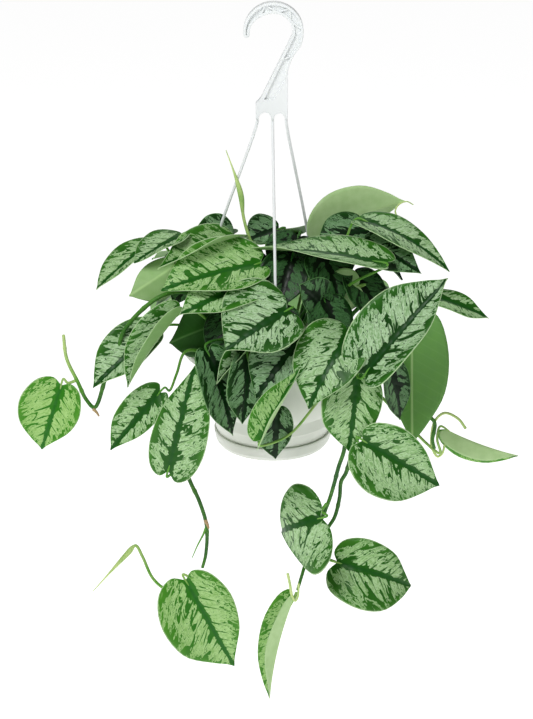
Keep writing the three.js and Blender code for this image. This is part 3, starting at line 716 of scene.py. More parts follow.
@dataclass
class HangingPot:
    """The stepped pot, its clip-on saucer and its soil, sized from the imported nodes."""

    wall: float = 1.6
    flange: float = 8.0
    lip: float = 5.0
    waist_radius: float = 57.5
    waist_height: float = 36.0
    step_height: float = 12.0
    step_inset: float = 1.6
    foot_radius: float = 48.6
    saucer_height: float = 14.0
    saucer_wall: float = 1.5
    foot_clearance: float = 0.2
    groove: float = 0.25
    soil_gap: float = 0.4
    soil_heap: float = 2.6
    soil_crumb: float = 0.7
    soil_drop: float = 10.0
    steps: int = 160

    def __post_init__(self) -> None:
        """Reads the rim's radius and the pot's top and foot from the frame."""
        low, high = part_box("pot")
        self.rim_radius = (high[0] - low[0]) / 2 / MM
        self.rim = high[2] / MM
        self.foot = low[2] / MM

    def shoulder(self, share: float, thin: float = 0.0) -> list[float]:
        """A point of the curved wall.

        Args:
            share: How far down it is, from under the rim (0) to the waist (1).
            thin: How far it is set in from the outside.

        Returns:
            Its radius and height.
        """
        swing = math.sin(share * math.pi / 2)
        sink = 1 - math.cos(share * math.pi / 2)
        top, waist = self.rim - self.wall, self.foot + self.waist_height
        throat = self.rim_radius - self.flange
        radius = throat + (self.waist_radius - throat) * (0.35 * swing + 0.65 * sink)
        return [radius - thin, top + (waist - top) * (0.55 * swing + 0.45 * share)]

    def pot_profile(self) -> list[list[float]]:
        """The pot's section.

        Returns:
            Its radii and heights, from the inside of its floor round to its underside.
        """
        band = self.waist_radius - self.step_inset
        base = band - self.step_inset
        waist = self.foot + self.waist_height
        lower = waist - self.step_height
        shares = np.linspace(0, 1, 13)
        inside = [self.shoulder(s, self.wall) for s in shares[1:]]
        outside = [self.shoulder(s) for s in shares]
        throat = self.rim_radius - self.flange - self.wall
        profile = [
            [throat, self.rim - 2 * self.wall],
            *inside,
            [base - self.wall, lower - self.wall],
            [self.foot_radius - self.wall, self.foot + self.wall],
            [0, self.foot + self.wall],
        ][::-1]
        profile += [
            [throat, self.rim],
            [self.rim_radius, self.rim],
            [self.rim_radius, self.rim - self.lip],
        ]
        profile += [[self.rim_radius - self.wall, self.rim - self.lip]]
        profile += [[self.rim_radius - self.wall, self.rim - self.wall], *outside]
        profile += [[band, waist - 0.4], [band, lower], [base, lower - 0.4]]
        profile += [[self.foot_radius, self.foot], [0, self.foot]]
        return rounded(profile, 0.7)

    def saucer_profile(self) -> list[list[float]]:
        """The saucer's section.

        Returns:
            Its radii and heights, from the middle of its floor round to its underside.
        """
        floor = self.foot - self.foot_clearance
        under = floor - self.saucer_wall
        top = under + self.saucer_height
        low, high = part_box("saucer")
        outside = (high[0] - low[0]) / 2 / MM
        inside = outside - self.saucer_wall
        corner = self.foot_radius + self.foot_clearance
        flat = self.foot_radius - 2
        flare = self.waist_radius - 2 * self.step_inset - self.foot_radius
        climb = (top - self.groove - self.foot) / (self.waist_height - self.step_height)
        seat = self.foot_radius + flare * climb
        profile = [[0, floor], [corner, floor], [corner + 0.5, floor + 2.5]]
        profile += [[seat, top - self.groove]]
        profile += [[inside, top - self.groove], [inside, top], [outside, top]]
        profile += [[outside, top - 2], [outside - 1.2, under + 5], [flat + 3.2, under + 1.2]]
        profile += [[flat, under], [0, under]]
        return rounded(profile, 0.12)

    def build(self, finishes: Finishes) -> None:
        """Makes the pot, the saucer and the soil.

        Args:
            finishes: The shared finishes.
        """
        vertices, faces = turned(self.pot_profile(), self.steps)
        pot = new_object("hanging_pot", vertices, faces, [finishes.pot])
        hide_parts("pot")
        vertices, faces = turned(self.saucer_profile(), self.steps)
        saucer = new_object("clip_on_saucer", vertices, faces, [finishes.pot])
        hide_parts("saucer")
        self.build_soil(finishes)

    def build_soil(self, finishes: Finishes) -> None:
        """Makes the soil: a heaped, crumbly surface over a plug that fills the pot.

        Args:
            finishes: The shared finishes.
        """
        top = self.rim - self.soil_drop
        wall_line = [self.shoulder(s, self.wall + 1) for s in np.linspace(0.2, 1, 9)]
        side = [point for point in wall_line if point[1] < top][::-1]
        edge = side[-1][0] + 0.5
        rings = np.linspace(0, 1, 26)
        heap = [[edge * s, top + self.soil_heap * (1 - s**2) - 1.0] for s in rings]
        base = self.foot_radius - self.wall - 1
        underside = self.foot + self.wall + self.soil_gap
        profile = [*heap, *side[::-1], [base, underside], [0, underside]]
        vertices, faces = turned(profile, 96)
        rng = np.random.default_rng(7)
        surface = vertices[:, 2] > top - 3
        vertices[surface, 2] += rng.normal(0, self.soil_crumb, int(surface.sum()))
        soil = new_object("potting_soil", vertices, faces, [finishes.soil])
        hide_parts("soil")


# ---- Hanger -------------------------------------------------------------------------


@dataclass
class MouldedHanger:
    """The hook, stem and plate in a ribbed channel section, with three thin strands."""

    crook_radius: float = 16.0
    crook_width: float = 9.5
    tip_width: float = 5.2
    tip_angle: float = 185.0
    taper_start: float = 105.0
    chamfer: float = 0.45
    depth: float = 8.0
    rib: float = 2.2
    web: float = 4.0
    stem_width: float = 12.4
    stem_drop: float = 50.0
    plate_width: float = 27.6
    plate_top: float = 78.0
    plate_height: float = 13.0
    strand_width: float = 2.6
    zigzags: int = 5
    braced_to: float = 2.3
    azimuths: tuple[float, float, float] = (-97.0, 2.0, 145.0)

    @property
    def plate_left(self) -> float:
        """The plate's left edge, across X."""
        return self.stem_width - self.plate_width

    @property
    def plate_bottom(self) -> float:
        """The plate's lower edge."""
        return -self.plate_top - self.plate_height

    def strand_tops(self) -> tuple[float, float, float]:
        """Where the strands leave the plate, across X: left, middle and right."""
        half = self.strand_width / 2
        return (self.plate_left + half, -half / 2, self.stem_width - half)

    def lower_edge(self, inset: float) -> list[list[float]]:
        """The plate's lower edge, arched between the strands.

        Args:
            inset: How far inside its edge it is drawn.

        Returns:
            Its points in XZ, from left to right.
        """
        arches = []
        tops = self.strand_tops()
        for near, far in zip(tops, tops[1:]):
            left, right = near + self.strand_width / 2, far - self.strand_width / 2
            arches.append(((left + right) / 2, (right - left) / 2 + inset))
        edge = []
        for x in np.linspace(self.plate_left + inset, self.stem_width - inset, 72):
            rises = [math.sqrt(max(radius**2 - (x - middle) ** 2, 0.0)) for middle, radius in arches]
            edge.append([float(x), self.plate_bottom + inset * 0.5 + max(rises)])
        return edge

    def outline(self, inset: float) -> Array:
        """The hook's outline in XZ.

        Args:
            inset: How far inside its edge the outline is drawn.

        Returns:
            The same number of points for every inset, anticlockwise.
        """
        outer = self.crook_radius + self.crook_width - inset
        inner = self.crook_radius + inset
        centre = -self.crook_radius
        right = self.stem_width - inset
        left = self.plate_left + inset
        tip = math.radians(self.tip_angle)
        middle = self.crook_radius + self.crook_width - self.tip_width / 2
        points = [*self.lower_edge(inset), [right, -self.stem_drop]]
        for u in np.linspace(0, 1, 7)[1:]:
            start = [right, -self.stem_drop]
            bend = [right + 2, 12 - self.stem_drop]
            end = [outer - 3, centre - 13]
            points.append(quadratic(start, bend, end, u))
        for u in np.linspace(0, 1, 6)[1:]:
            points.append(quadratic([outer - 3, centre - 13], [outer, centre - 8], [outer, centre], u))
        for a in np.linspace(0, tip, 49)[1:]:
            points.append([outer * math.cos(a), centre + outer * math.sin(a)])
        tip_x, tip_z = middle * math.cos(tip), centre + middle * math.sin(tip)
        for a in np.linspace(tip, tip + math.pi, 11)[1:]:
            half = self.tip_width / 2 - inset
            points.append([tip_x + half * math.cos(a), tip_z + half * math.sin(a)])
        start = math.radians(self.taper_start)
        for u in np.linspace(0, 1, 17)[1:]:
            a = tip + (start - tip) * u
            radius = inner + (self.crook_width - self.tip_width) * (1 - u * u * (3 - 2 * u))
            points.append([radius * math.cos(a), centre + radius * math.sin(a)])
        for a in np.linspace(start, -0.15, 31)[1:]:
            points.append([inner * math.cos(a), centre + inner * math.sin(a)])
        points.append([left + 4.5, 5 - self.plate_top - inset])
        points.append([left, -self.plate_top - inset])
        return np.array(points)

    def hook_mesh(self) -> tuple[Array, list[list[int]]]:
        """The channel section: a rib round the outline, a thin web inside it and the braces.

        Returns:
            Vertices and faces.
        """
        outer, eased, inner = self.outline(0.0), self.outline(self.chamfer), self.outline(self.rib)
        count = len(outer)
        half = self.depth / 2
        levels = [
            (outer, self.chamfer - half),
            (eased, -half),
            (inner, -half),
            (inner, -self.web / 2),
            (inner, self.web / 2),
            (inner, half),
            (eased, half),
            (outer, half - self.chamfer),
        ]
        vertices = np.vstack(
            [np.column_stack([ring[:, 0], np.full(count, y), ring[:, 1]]) for ring, y in levels]
        )
        faces = []
        for a, b in ((0, 1), (1, 2), (2, 3), (4, 5), (5, 6), (6, 7), (7, 0)):
            for k in range(count):
                n = (k + 1) % count
                faces.append([a * count + k, b * count + k, b * count + n, a * count + n])
        faces.append([3 * count + k for k in range(count)])
        faces.append([4 * count + k for k in range(count)][::-1])
        for brace, brace_faces in [*self.braces(), self.plate()]:
            faces += [[i + len(vertices) for i in face] for face in brace_faces]
            vertices = np.vstack([vertices, brace])
        return vertices, faces

    def braces(self) -> list[tuple[Array, list[list[int]]]]:
        """The zig-zag ribs inside the crook, and the rib at the top of the stem's channel.

        Returns:
            Vertices and faces of each rib.
        """
        inner, outer = self.crook_radius + 1, self.crook_radius + self.crook_width - 1
        centre = -self.crook_radius
        lines = []
        angles = np.linspace(0.1, self.braced_to, self.zigzags + 1)
        for i, (a, b) in enumerate(zip(angles, angles[1:])):
            near, far = (inner, outer) if i % 2 else (outer, inner)
            start = (near * math.cos(a), centre + near * math.sin(a))
            lines.append((start, (far * math.cos(b), centre + far * math.sin(b))))
        lines.append(((7.5, -39.0), (16.8, -36.2)))
        return [box_between(*line, width=1.2, depth=self.depth - 1.2) for line in lines]

    def plate(self) -> tuple[Array, list[list[int]]]:
        """The flat plate below the stem's channel, as thick as the ribs.

        Returns:
            Vertices and faces.
        """
        sunk = 0.1
        edge = [
            *self.lower_edge(sunk),
            [self.stem_width - sunk, -52.0],
            [0.5, -74.0],
            [-9.5, -74.0],
            [self.plate_left + sunk, -79.0],
        ]
        count = len(edge)
        half = self.depth / 2 - sunk
        vertices = np.array([[x, y, z] for y in (-half, half) for x, z in edge])
        faces = [list(range(count)), list(range(count, 2 * count))[::-1]]
        for k in range(count):
            n = (k + 1) % count
            faces.append([k, k + count, n + count, n])
        return vertices, faces

    def build(self, finishes: Finishes) -> None:
        """Makes the hanger's mouldings, in place of its hook and strands.

        Args:
            finishes: The shared finishes.
        """
        vertices, faces = self.hook_mesh()
        hook = new_object("moulded_hook", vertices, faces, [finishes.hanger])
        hook.data.shade_flat()
        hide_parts("hanger_hook")
        for name, azimuth, top in zip(("left", "front", "right"), self.azimuths, self.strand_tops()):
            self.build_strand(name, azimuth, top, finishes)

    def build_strand(self, name: str, azimuth: float, top: float, finishes: Finishes) -> None:
        """Makes one strand.

        Args:
            name: Which strand.
            azimuth: Where round the rim it is hooked in.
            top: Where it leaves the plate, across X.
            finishes: The shared finishes.
        """
        low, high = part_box("pot")
        radius = (high[0] - low[0]) / 2 / MM - 4
        rim = high[2] / MM
        foot = heading(azimuth, 0) * radius
        start = np.array([top, 0, self.plate_bottom + 1.5])
        end = np.array([foot[0], foot[1], rim + 6])
        run = end - start
        half = start + 0.5 * run + np.array([0.02 * run[0], 0.02 * run[1], 0])
        points = [start, start + [0, 0, -5], half, end, [foot[0], foot[1], rim - 3]]
        path = spline(points, np.linspace(0, 1, 40))
        vertices, faces = sweep(path, np.full(40, self.strand_width / 2), 12)
        strand = new_object(f"hanger_strand_{name}", vertices, faces, [finishes.hanger])
        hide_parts(f"strand_{name}")


def box_between(
    start: Sequence[float], end: Sequence[float], width: float, depth: float
) -> tuple[Array, list]:
    """A straight rib in the XZ plane.

    Args:
        start: Where it starts.
        end: Where it ends.
        width: Its thickness in the plane.
        depth: Its size along Y.

    Returns:
        Its vertices and faces.
    """
    first, last = np.asarray(start), np.asarray(end)
    along = unit(last - first)
    side = np.array([-along[1], along[0]]) * width / 2
    ring = [first - side, last - side, last + side, first + side]
    vertices = [[x, y, z] for y in (-depth / 2, depth / 2) for x, z in ring]
    faces = [[0, 1, 2, 3], [7, 6, 5, 4], [0, 4, 5, 1], [1, 5, 6, 2], [2, 6, 7, 3], [3, 7, 4, 0]]
    return np.array(vertices), faces


def quadratic(
    start: Sequence[float], bend: Sequence[float], end: Sequence[float], u: float
) -> list[float]:
    """A point of a quadratic curve, at share u."""
    return [(1 - u) ** 2 * a + 2 * u * (1 - u) * b + u**2 * c for a, b, c in zip(start, bend, end)]


# ---- Leaves -------------------------------------------------------------------------

# A blade's margin from the notch to the drawn-out tip, as shares of its length and width.
FULL_HALF = (
    (0, 0), (-0.08, 0.17), (0.02, 0.42), (0.3, 0.57), (0.61, 0.5), (0.85, 0.22), (0.95, 0.06), (1, 0))
SLIM_HALF = (
    (0, 0), (-0.06, 0.14), (0.03, 0.34), (0.28, 0.44), (0.57, 0.37), (0.82, 0.15), (0.94, 0.04), (1, 0))
# Where each of those points meets the midrib.
MIDRIB_SHARES = ((0,), (0.07,), (0.19,), (0.38,), (0.61,), (0.82,), (0.93,), (1,))
SOIL_ROOT = -6.0
FLAT_CURL = 1e-5


@dataclass(frozen=True)
class Leaf:
    """One leaf: its blade and its stalk, placed from the centre of the pot's rim.

    base and tip are the blade's notch and tip, face the azimuth and elevation that its
    upper side looks along. fold and curl are for its left and right halves, in degrees, and
    bow is along it. full is the side of its fuller half. tone runs from painted shade (-1),
    which darkens the colour of a leaf that the crown shades, through old (0) to young (1).
    """

    name: str
    base: Point
    tip: Point
    width: float
    face: tuple[float, float]
    fold: tuple[float, float] = (8, 8)
    curl: tuple[float, float] = (10, 10)
    bow: float = 20
    twist: float = 0
    full: Side = Side.RIGHT
    root: Point | None = None
    via: tuple[Point, ...] = ()
    lift: float = 18
    tone: float = 0.3
    slot: Slot = Slot.GROWN

    def shape(self, share: Array, wide: Array, rim: float) -> Array:
        """Points of the blade.

        Args:
            share: Shares of its length, forward of the notch.
            wide: Shares of its width, positive on its right half.
            rim: Height of the pot's rim.

        Returns:
            One point for each pair.
        """
        start = np.array(self.base) + [0, 0, rim]
        chord = np.array(self.tip) + [0, 0, rim] - start
        bend = math.radians(self.bow)
        size = float(np.linalg.norm(chord))
        length = size * bend / 2 / math.sin(bend / 2)
        along = chord / size
        look = heading(*self.face)
        up = unit(look - along * np.dot(look, along))
        s = np.maximum(share, 0)
        radius = length / bend
        angle = bend / 2 - s * bend
        rise = radius * (np.cos(angle) - math.cos(bend / 2))
        reach = radius * (math.sin(bend / 2) - np.sin(angle))
        tangent = along * np.cos(angle)[:, None] + up * np.sin(angle)[:, None]
        spine = start + along * reach[:, None] + up * rise[:, None]
        spine = spine + tangent * (np.minimum(share, 0) * length)[:, None]
        normal = up * np.cos(angle)[:, None] - along * np.sin(angle)[:, None]
        turn = math.radians(self.twist) * s
        normal = normal * np.cos(turn)[:, None] + np.cross(tangent, normal) * np.sin(turn)[:, None]
        across = np.cross(tangent, normal)
        right = wide > 0
        fold = np.radians(np.where(right, self.fold[1], self.fold[0]))
        rate = np.radians(np.where(right, self.curl[1], self.curl[0])) / (self.width / 2)
        rate = np.where(np.abs(rate) < FLAT_CURL, FLAT_CURL, rate)
        distance = np.abs(wide) * self.width
        out = (np.sin(fold + rate * distance) - np.sin(fold)) / rate
        raised = (np.cos(fold) - np.cos(fold + rate * distance)) / rate
        sign = np.where(right, 1.0, -1.0)
        return spine + across * (sign * out)[:, None] + normal * raised[:, None]


# A leaf with a negative tone has shade painted into its colour.
LEAVES = (
    # Crown, left
    Leaf("leaf_left_reach", (-106, -8, 96), (-153, -45, 66), 36, (60, 92), tone=0.45),
    Leaf("leaf_left_folded", (-80, -16, 106), (-120, -44, 90), 44, (20, 70), fold=(30, -20),
         tone=0.35),
    Leaf("leaf_left_curled", (-36, 0, 94), (-99, -60, 90), 52, (0, 62), fold=(50, 25),
         full=Side.LEFT,
         tone=0.6),
    Leaf("leaf_left_broad_upper", (-12, -34, 86), (-96, -74, 76), 58, (0, 54), tone=0.7),
    Leaf("leaf_left_broad_lower", (-10, -42, 74), (-80, -86, 58), 48, (0, 50), tone=0.5),
    Leaf("leaf_left_wing", (-103, -56, 32), (-156, -78, -12), 44, (-12, 32), fold=(25, 5),
         tone=0.25),
    Leaf("leaf_left_strip", (-80, -70, 54), (-125, -92, -6), 40, (-60, 20), fold=(60, 60),
         tone=0.35),
    Leaf("leaf_left_shade", (-43, -44, 36), (-90, -66, 25), 54, (170, 10), tone=-0.7),
    # Crown, top
    Leaf("leaf_top_left", (-37, 30, 86), (-73, 15, 95), 40, (10, 45), tone=-0.3),
    Leaf("leaf_top_middle", (5, 25, 98), (-24, 10, 92), 36, (0, 60), tone=-0.4),
    Leaf("leaf_top_right_arching", (40, 38, 84), (119, 50, 116), 58, (180, 26), bow=40, tone=0.9),
    Leaf("leaf_top_right_inner", (84, 18, 100), (38, 2, 90), 44, (0, 50), fold=(-12, -12), bow=50,
         tone=-0.4),
    Leaf("leaf_top_right_upper", (78, -5, 116), (153, -35, 79), 44, (30, 74), bow=40, tone=0.3),
    Leaf("leaf_top_right_lower", (80, -10, 98), (128, -42, 80), 44, (20, 50), tone=-0.3),
    Leaf("leaf_crown_front", (92, -54, 94), (-34, -14, 92), 48, (0, 73), twist=40, tone=0.35),
    Leaf("leaf_front_shade", (40, -50, 56), (22, -70, 80), 34, (0, 30), tone=-0.6),
    # Crown, front and right
    Leaf("leaf_front_left_heart", (12, -68, 56), (-41, -100, 31), 76, (-5, 50), fold=(5, 12),
         tone=0.2),
    Leaf("leaf_front_left_dark", (-56, -84, 24), (-35, -90, -52), 42, (40, 0), tone=-0.45),
    Leaf("leaf_front_curled", (-13, -64, 26), (-49, -92, -3), 30, (-30, 30), fold=(60, 60),
         tone=0.2),
    Leaf("leaf_front_teal", (-22, -80, 17), (-27, -92, -40), 40, (30, 15), tone=-0.35),
    Leaf("leaf_front_middle", (22, -78, 32), (-15, -96, -14), 50, (-15, 30), tone=-0.2),
    Leaf("leaf_front_folded", (-10, -103, -50), (23, -99, 15), 44, (-15, 10), fold=(5, 80),
         via=((60, -80, 4), (40, -84, -20), (16, -92, -48), (2, -98, -54),), tone=0.8,
         slot=Slot.YOUNG),
    Leaf("leaf_front_low", (3, -86, -28), (2, -90, -74), 34, (0, 10), tone=-0.3),
    Leaf("leaf_front_right_wide", (66, -66, 34), (30, -106, -20), 60, (-10, 30), bow=75, tone=0.3),
    Leaf("leaf_right_upright", (78, -98, 10), (148, -76, 88), 66, (-12, 22), fold=(5, 38),
         full=Side.LEFT,
         tone=0.15),
    Leaf("leaf_right_thin", (143, -20, 50), (190, -25, 32), 30, (0, 70), tone=0.4),
    Leaf("leaf_right_turned", (121, -42, 38), (123, -60, -75), 60, (180, 5), tone=0.1),
    Leaf("leaf_right_shade", (101, -62, 3), (111, -68, -47), 40, (50, 10), tone=-0.4),
    Leaf("leaf_right_hanging", (72, -88, 5), (65, -98, -63), 54, (5, 15), tone=0.45),
    # Trailing
    Leaf("leaf_right_low", (77, -102, -51), (144, -106, -92), 66, (5, 25), fold=(28, 5),
         full=Side.RIGHT,
         root=(65, -91, -63), lift=2, tone=0.4),
    Leaf("leaf_left_oval", (-98, -79, -16), (-142, -85, -68), 34, (-10, 20),
         via=((-76, -58, 14), (-84, -66, -4), (-90, -72, -17),), tone=0.4),
    Leaf("leaf_left_upturned", (-91, -100, -81), (-67, -92, 15), 50, (-5, 15),
         root=(-77, -88, -88), lift=0, tone=0.4),
    Leaf("leaf_trail_right_middle", (42, -92, -130), (8, -58, -160), 82, (-50, 6), fold=(-12, -12),
         bow=80, full=Side.LEFT, root=(47, -84, -120), lift=0, tone=0.35),
    Leaf("leaf_trail_right_end", (58, -62, -190), (126, -54, -218), 64, (5, 30), bow=75,
         root=(50, -62, -187), lift=0, tone=0.5),
    Leaf("leaf_trail_right_lowest", (18, -82, -218), (-3, -88, -317), 36, (-80, 5), fold=(50, 45),
         root=(21, -84, -209), lift=0, tone=0.9, slot=Slot.YOUNG),
    Leaf("leaf_trail_left_end", (-78, -88, -194), (-35, -92, -280), 70, (-5, 25),
         root=(-66, -87, -185), lift=0, tone=0.85, slot=Slot.YOUNG),
    Leaf("leaf_far_left_end", (-185, -60, -17), (-204, -66, -76), 55, (0, 20),
         root=(-173, -57, -14), lift=2, tone=1.0, slot=Slot.YOUNG),
    Leaf("leaf_far_right_folded", (154, -45, -66), (218, -55, -87), 36, (0, -70), fold=(55, 50),
         via=((149, -48, -88), (146, -47, -74),), tone=1.0, slot=Slot.YOUNG),
    # Back
    Leaf("leaf_back_right", (60, 66, 40), (95, 116, -15), 60, (150, 25), tone=0.3),
    Leaf("leaf_back_middle_right", (20, 78, 34), (35, 122, -45), 62, (170, 15), tone=0.2),
    Leaf("leaf_back_middle_left", (-28, 78, 42), (-45, 124, -22), 60, (190, 20), tone=0.4),
    Leaf("leaf_back_left", (-70, 60, 36), (-115, 92, -12), 58, (230, 25), tone=0.2),
    Leaf("leaf_back_side_right", (95, 30, 36), (152, 48, -6), 58, (110, 30), tone=0.25),
    Leaf("leaf_back_top", (-5, 62, 72), (10, 128, 52), 58, (180, 60), tone=0.35),
    Leaf("leaf_back_top_left", (-58, 42, 70), (-112, 76, 52), 54, (210, 65), tone=0.3),
    Leaf("leaf_back_top_right", (48, 58, 74), (98, 104, 56), 54, (140, 60), tone=0.5),
)


# Small leaves inside the crown, with shade painted into their colour by their negative tone, which have
# no node of their own.
INNER_LEAVES = (
    Leaf("inner_leaf_front_left", (-4, -22, 84), (-34, -46, 48), 46, (-20, 45), tone=-0.8),
    Leaf("inner_leaf_front", (16, -26, 88), (4, -56, 50), 44, (0, 45), tone=-0.8),
    Leaf("inner_leaf_front_right", (44, -20, 90), (58, -48, 52), 46, (25, 45), tone=-0.8),
    Leaf("inner_leaf_low_right", (44, -48, 58), (60, -66, 16), 44, (20, 35), tone=-0.8),
    Leaf("inner_leaf_low_front", (6, -50, 52), (-2, -72, 8), 46, (0, 30), tone=-0.8),
    Leaf("inner_leaf_low_left", (-30, -52, 48), (-44, -72, 6), 44, (-20, 30), tone=-0.8),
    Leaf("inner_leaf_left", (-52, -20, 78), (-88, -40, 50), 46, (-40, 45), tone=-0.6),
    Leaf("inner_leaf_far_left", (-62, 8, 84), (-104, 2, 62), 44, (-80, 50), tone=-0.6),
    Leaf("inner_leaf_middle", (22, 4, 98), (8, -22, 68), 42, (-10, 50), tone=-0.8),
    Leaf("inner_leaf_middle_right", (52, 6, 96), (66, -18, 66), 42, (20, 50), tone=-0.8),
    Leaf("inner_leaf_right", (70, -22, 72), (98, -42, 34), 46, (40, 40), tone=-0.8),
    Leaf("inner_leaf_far_right", (78, 18, 84), (116, 14, 54), 46, (85, 45), tone=-0.6),
    Leaf("inner_leaf_back", (10, 44, 92), (4, 84, 64), 46, (180, 50), tone=-0.2),
    Leaf("inner_leaf_back_left", (-44, 36, 88), (-76, 66, 60), 46, (215, 50), tone=-0.2),
    Leaf("inner_leaf_back_right", (52, 48, 84), (84, 78, 48), 46, (140, 50), tone=-0.2),
    Leaf("inner_leaf_side_left", (-72, 20, 52), (-112, 26, 14), 48, (-95, 30), tone=-0.4),
    Leaf("inner_leaf_side_right", (84, 0, 56), (114, -10, 8), 46, (80, 30), tone=-0.6),
    Leaf("inner_leaf_young_underside", (-86, -34, 84), (-124, -60, 66), 34, (150, 0), tone=0.6),
    Leaf("inner_leaf_pale_underside", (74, -34, 66), (40, -40, 60), 40, (180, -5), tone=0.8),
)


@dataclass
class Foliage:
    """Every leaf of the plant, as finely meshed blades with their stalks."""

    thickness: float = 0.6
    stalk_radius: float = 1.25
    rows: int = 31
    columns: int = 9
    groove_width: float = 2.2
    groove_depth: float = 0.9
    waviness: float = 0.02

    def __post_init__(self) -> None:
        """Reads the rim's height from the frame."""
        self.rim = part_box("pot")[1][2] / MM

    def build(self, finishes: Finishes) -> None:
        """Makes every leaf and puts it in place of its node.

        Args:
            finishes: The shared finishes.
        """
        for number, leaf in enumerate(LEAVES):
            piece = self.build_leaf(leaf, number, finishes)
            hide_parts(leaf.name)
        for number, leaf in enumerate(INNER_LEAVES, start=len(LEAVES)):
            self.build_leaf(leaf, number, finishes)
        LOG.info("foliage: %d leaves", len(LEAVES) + len(INNER_LEAVES))

    def blade_grid(self, leaf: Leaf) -> tuple[Array, Array, Array]:
        """The blade's grid.

        Args:
            leaf: The leaf.

        Returns:
            Shares along it, shares of its width, and shares from midrib to margin, each
            with a row for every place along the margin.
        """
        at = np.linspace(0, 1, self.rows)
        full, slim = spline(FULL_HALF, at), spline(SLIM_HALF, at)
        midrib = spline(MIDRIB_SHARES, at)[:, 0]
        cross = np.linspace(-1, 1, 2 * self.columns - 1)
        left, right = (full, slim) if leaf.full is Side.LEFT else (slim, full)
        outline = np.where((cross > 0)[None, :, None], right[:, None, :], left[:, None, :])
        across = np.abs(cross)[None, :]
        share = midrib[:, None] * (1 - across) + outline[..., 0] * across
        wide = np.sign(cross)[None, :] * across * outline[..., 1]
        return share, wide, np.broadcast_to(across, share.shape)

    def build_leaf(self, leaf: Leaf, number: int, finishes: Finishes) -> bpy.types.Object:
        """Makes one leaf.

        Args:
            leaf: The leaf.
            number: Its number, which seeds its markings and waves.
            finishes: The shared finishes.

        Returns:
            The leaf's object.
        """
        rng = np.random.default_rng(100 + number)
        share, wide, across = self.blade_grid(leaf)
        rows, columns = share.shape
        flat = leaf.shape(share.ravel(), wide.ravel(), self.rim).reshape(rows, columns, 3)
        normals = grid_normals(flat)
        phase = rng.uniform(0, 2 * np.pi, 2)
        waves = np.where(wide > 0, np.sin(9 * share + phase[0]), np.sin(10 * share + phase[1]))
        sunk = np.exp(-((np.abs(wide) * leaf.width / self.groove_width) ** 2))
        groove = -self.groove_depth * sunk * np.sin(np.pi * np.clip(share, 0, 1))
        relief = waves * across**2 * self.waviness * leaf.width + groove
        relief[0] = relief[-1] = 0
        flat = flat + normals * relief[..., None]
        normals = grid_normals(flat)
        top = flat + normals * self.thickness / 2
        under = flat - normals * self.thickness / 2
        keep = np.ones((rows, columns), dtype=bool)
        keep[0, 1:] = keep[-1, 1:] = False
        index = np.cumsum(keep.ravel()).reshape(rows, columns) - 1
        index[0], index[-1] = index[0, 0], index[-1, 0]
        count = int(keep.sum())
        faces, slots = blade_faces(index, count)
        length = float(np.linalg.norm(np.array(leaf.tip) - np.array(leaf.base)))
        seed = np.full(share.shape, 7.3 * number)
        place = np.stack([wide * leaf.width, share * length, seed], axis=-1)[keep]
        shares = np.stack([across, share, np.full(share.shape, leaf.tone)], axis=-1)[keep]
        rod, rod_faces = self.stalk(leaf)
        vertices = np.vstack([top[keep], under[keep], rod])
        faces += [[i + 2 * count for i in face] for face in rod_faces]
        slots += [2] * len(rod_faces)
        materials = [finishes.upper, finishes.under, finishes.stem]
        piece = new_object(f"{leaf.name}_blade", vertices, faces, materials, slots)
        rest = np.zeros((len(rod), 3))
        set_vectors(piece, "blade_place", np.vstack([place, place, rest]))
        set_vectors(piece, "blade_share", np.vstack([shares, shares, rest]))
        age = 0.35 + 0.35 * leaf.tone
        set_values(piece, "stem_age", np.full(len(vertices), age))
        return piece

    def stalk(self, leaf: Leaf) -> tuple[Array, list[list[int]]]:
        """The leaf's stalk, from the soil or its stem to the blade's notch.

        Args:
            leaf: The leaf.

        Returns:
            Vertices and faces.
        """
        base = leaf.base
        root = leaf.root or (0.4 * base[0], 0.4 * base[1], SOIL_ROOT)
        start = np.array(root) + [0, 0, self.rim]
        notch, inner, behind = leaf.shape(np.array([0, 0.06, 0.1]), np.zeros(3), self.rim)
        inward = unit(notch - behind)
        middle = (start + inner) / 2 + [0, 0, leaf.lift]
        through = [np.array(point) + [0, 0, self.rim] for point in leaf.via] or [middle]
        steps = np.linspace(0, 1, 12 + 14 * len(through))
        path = spline([start, *through, notch + 6 * inward, inner], steps)
        radii = self.stalk_radius * (1.15 - 0.45 * steps) * (1 - 0.65 * steps**24)
        return sweep(path, radii, 10)


def grid_normals(grid: Array) -> Array:
    """Unit normals of a grid of points.

    Args:
        grid: The points, in rows from the notch to the tip.

    Returns:
        One normal for each point, towards the leaf's upper side.
    """
    down = np.gradient(grid, axis=0)
    side = np.gradient(grid, axis=1)
    normals = unit(np.cross(side, down))
    normals[0] = normals[1, normals.shape[1] // 2]
    normals[-1] = normals[-2, normals.shape[1] // 2]
    return normals


def blade_faces(index: Array, count: int) -> tuple[list[list[int]], list[int]]:
    """The faces of a blade.

    Args:
        index: The vertex number of each grid point of its upper side.
        count: How many vertices that side has.

    Returns:
        Faces of the upper side, the underside and the margin, and their slots.
    """
    faces, slots = [], []
    rows, columns = index.shape
    for i in range(rows - 1):
        for k in range(columns - 1):
            a, b = index[i, k], index[i, k + 1]
            c, d = index[i + 1, k + 1], index[i + 1, k]
            face = [int(v) for v in dict.fromkeys((a, b, c, d))]
            faces.append(face)
            slots.append(0)
            faces.append([v + count for v in face[::-1]])
            slots.append(1)
        for k, turn in ((0, 1), (columns - 1, -1)):
            a, d = int(index[i, k]), int(index[i + 1, k])
            face = [d, a, a + count, d + count]
            faces.append(face if turn < 0 else face[::-1])
            slots.append(0)
    return faces, slots


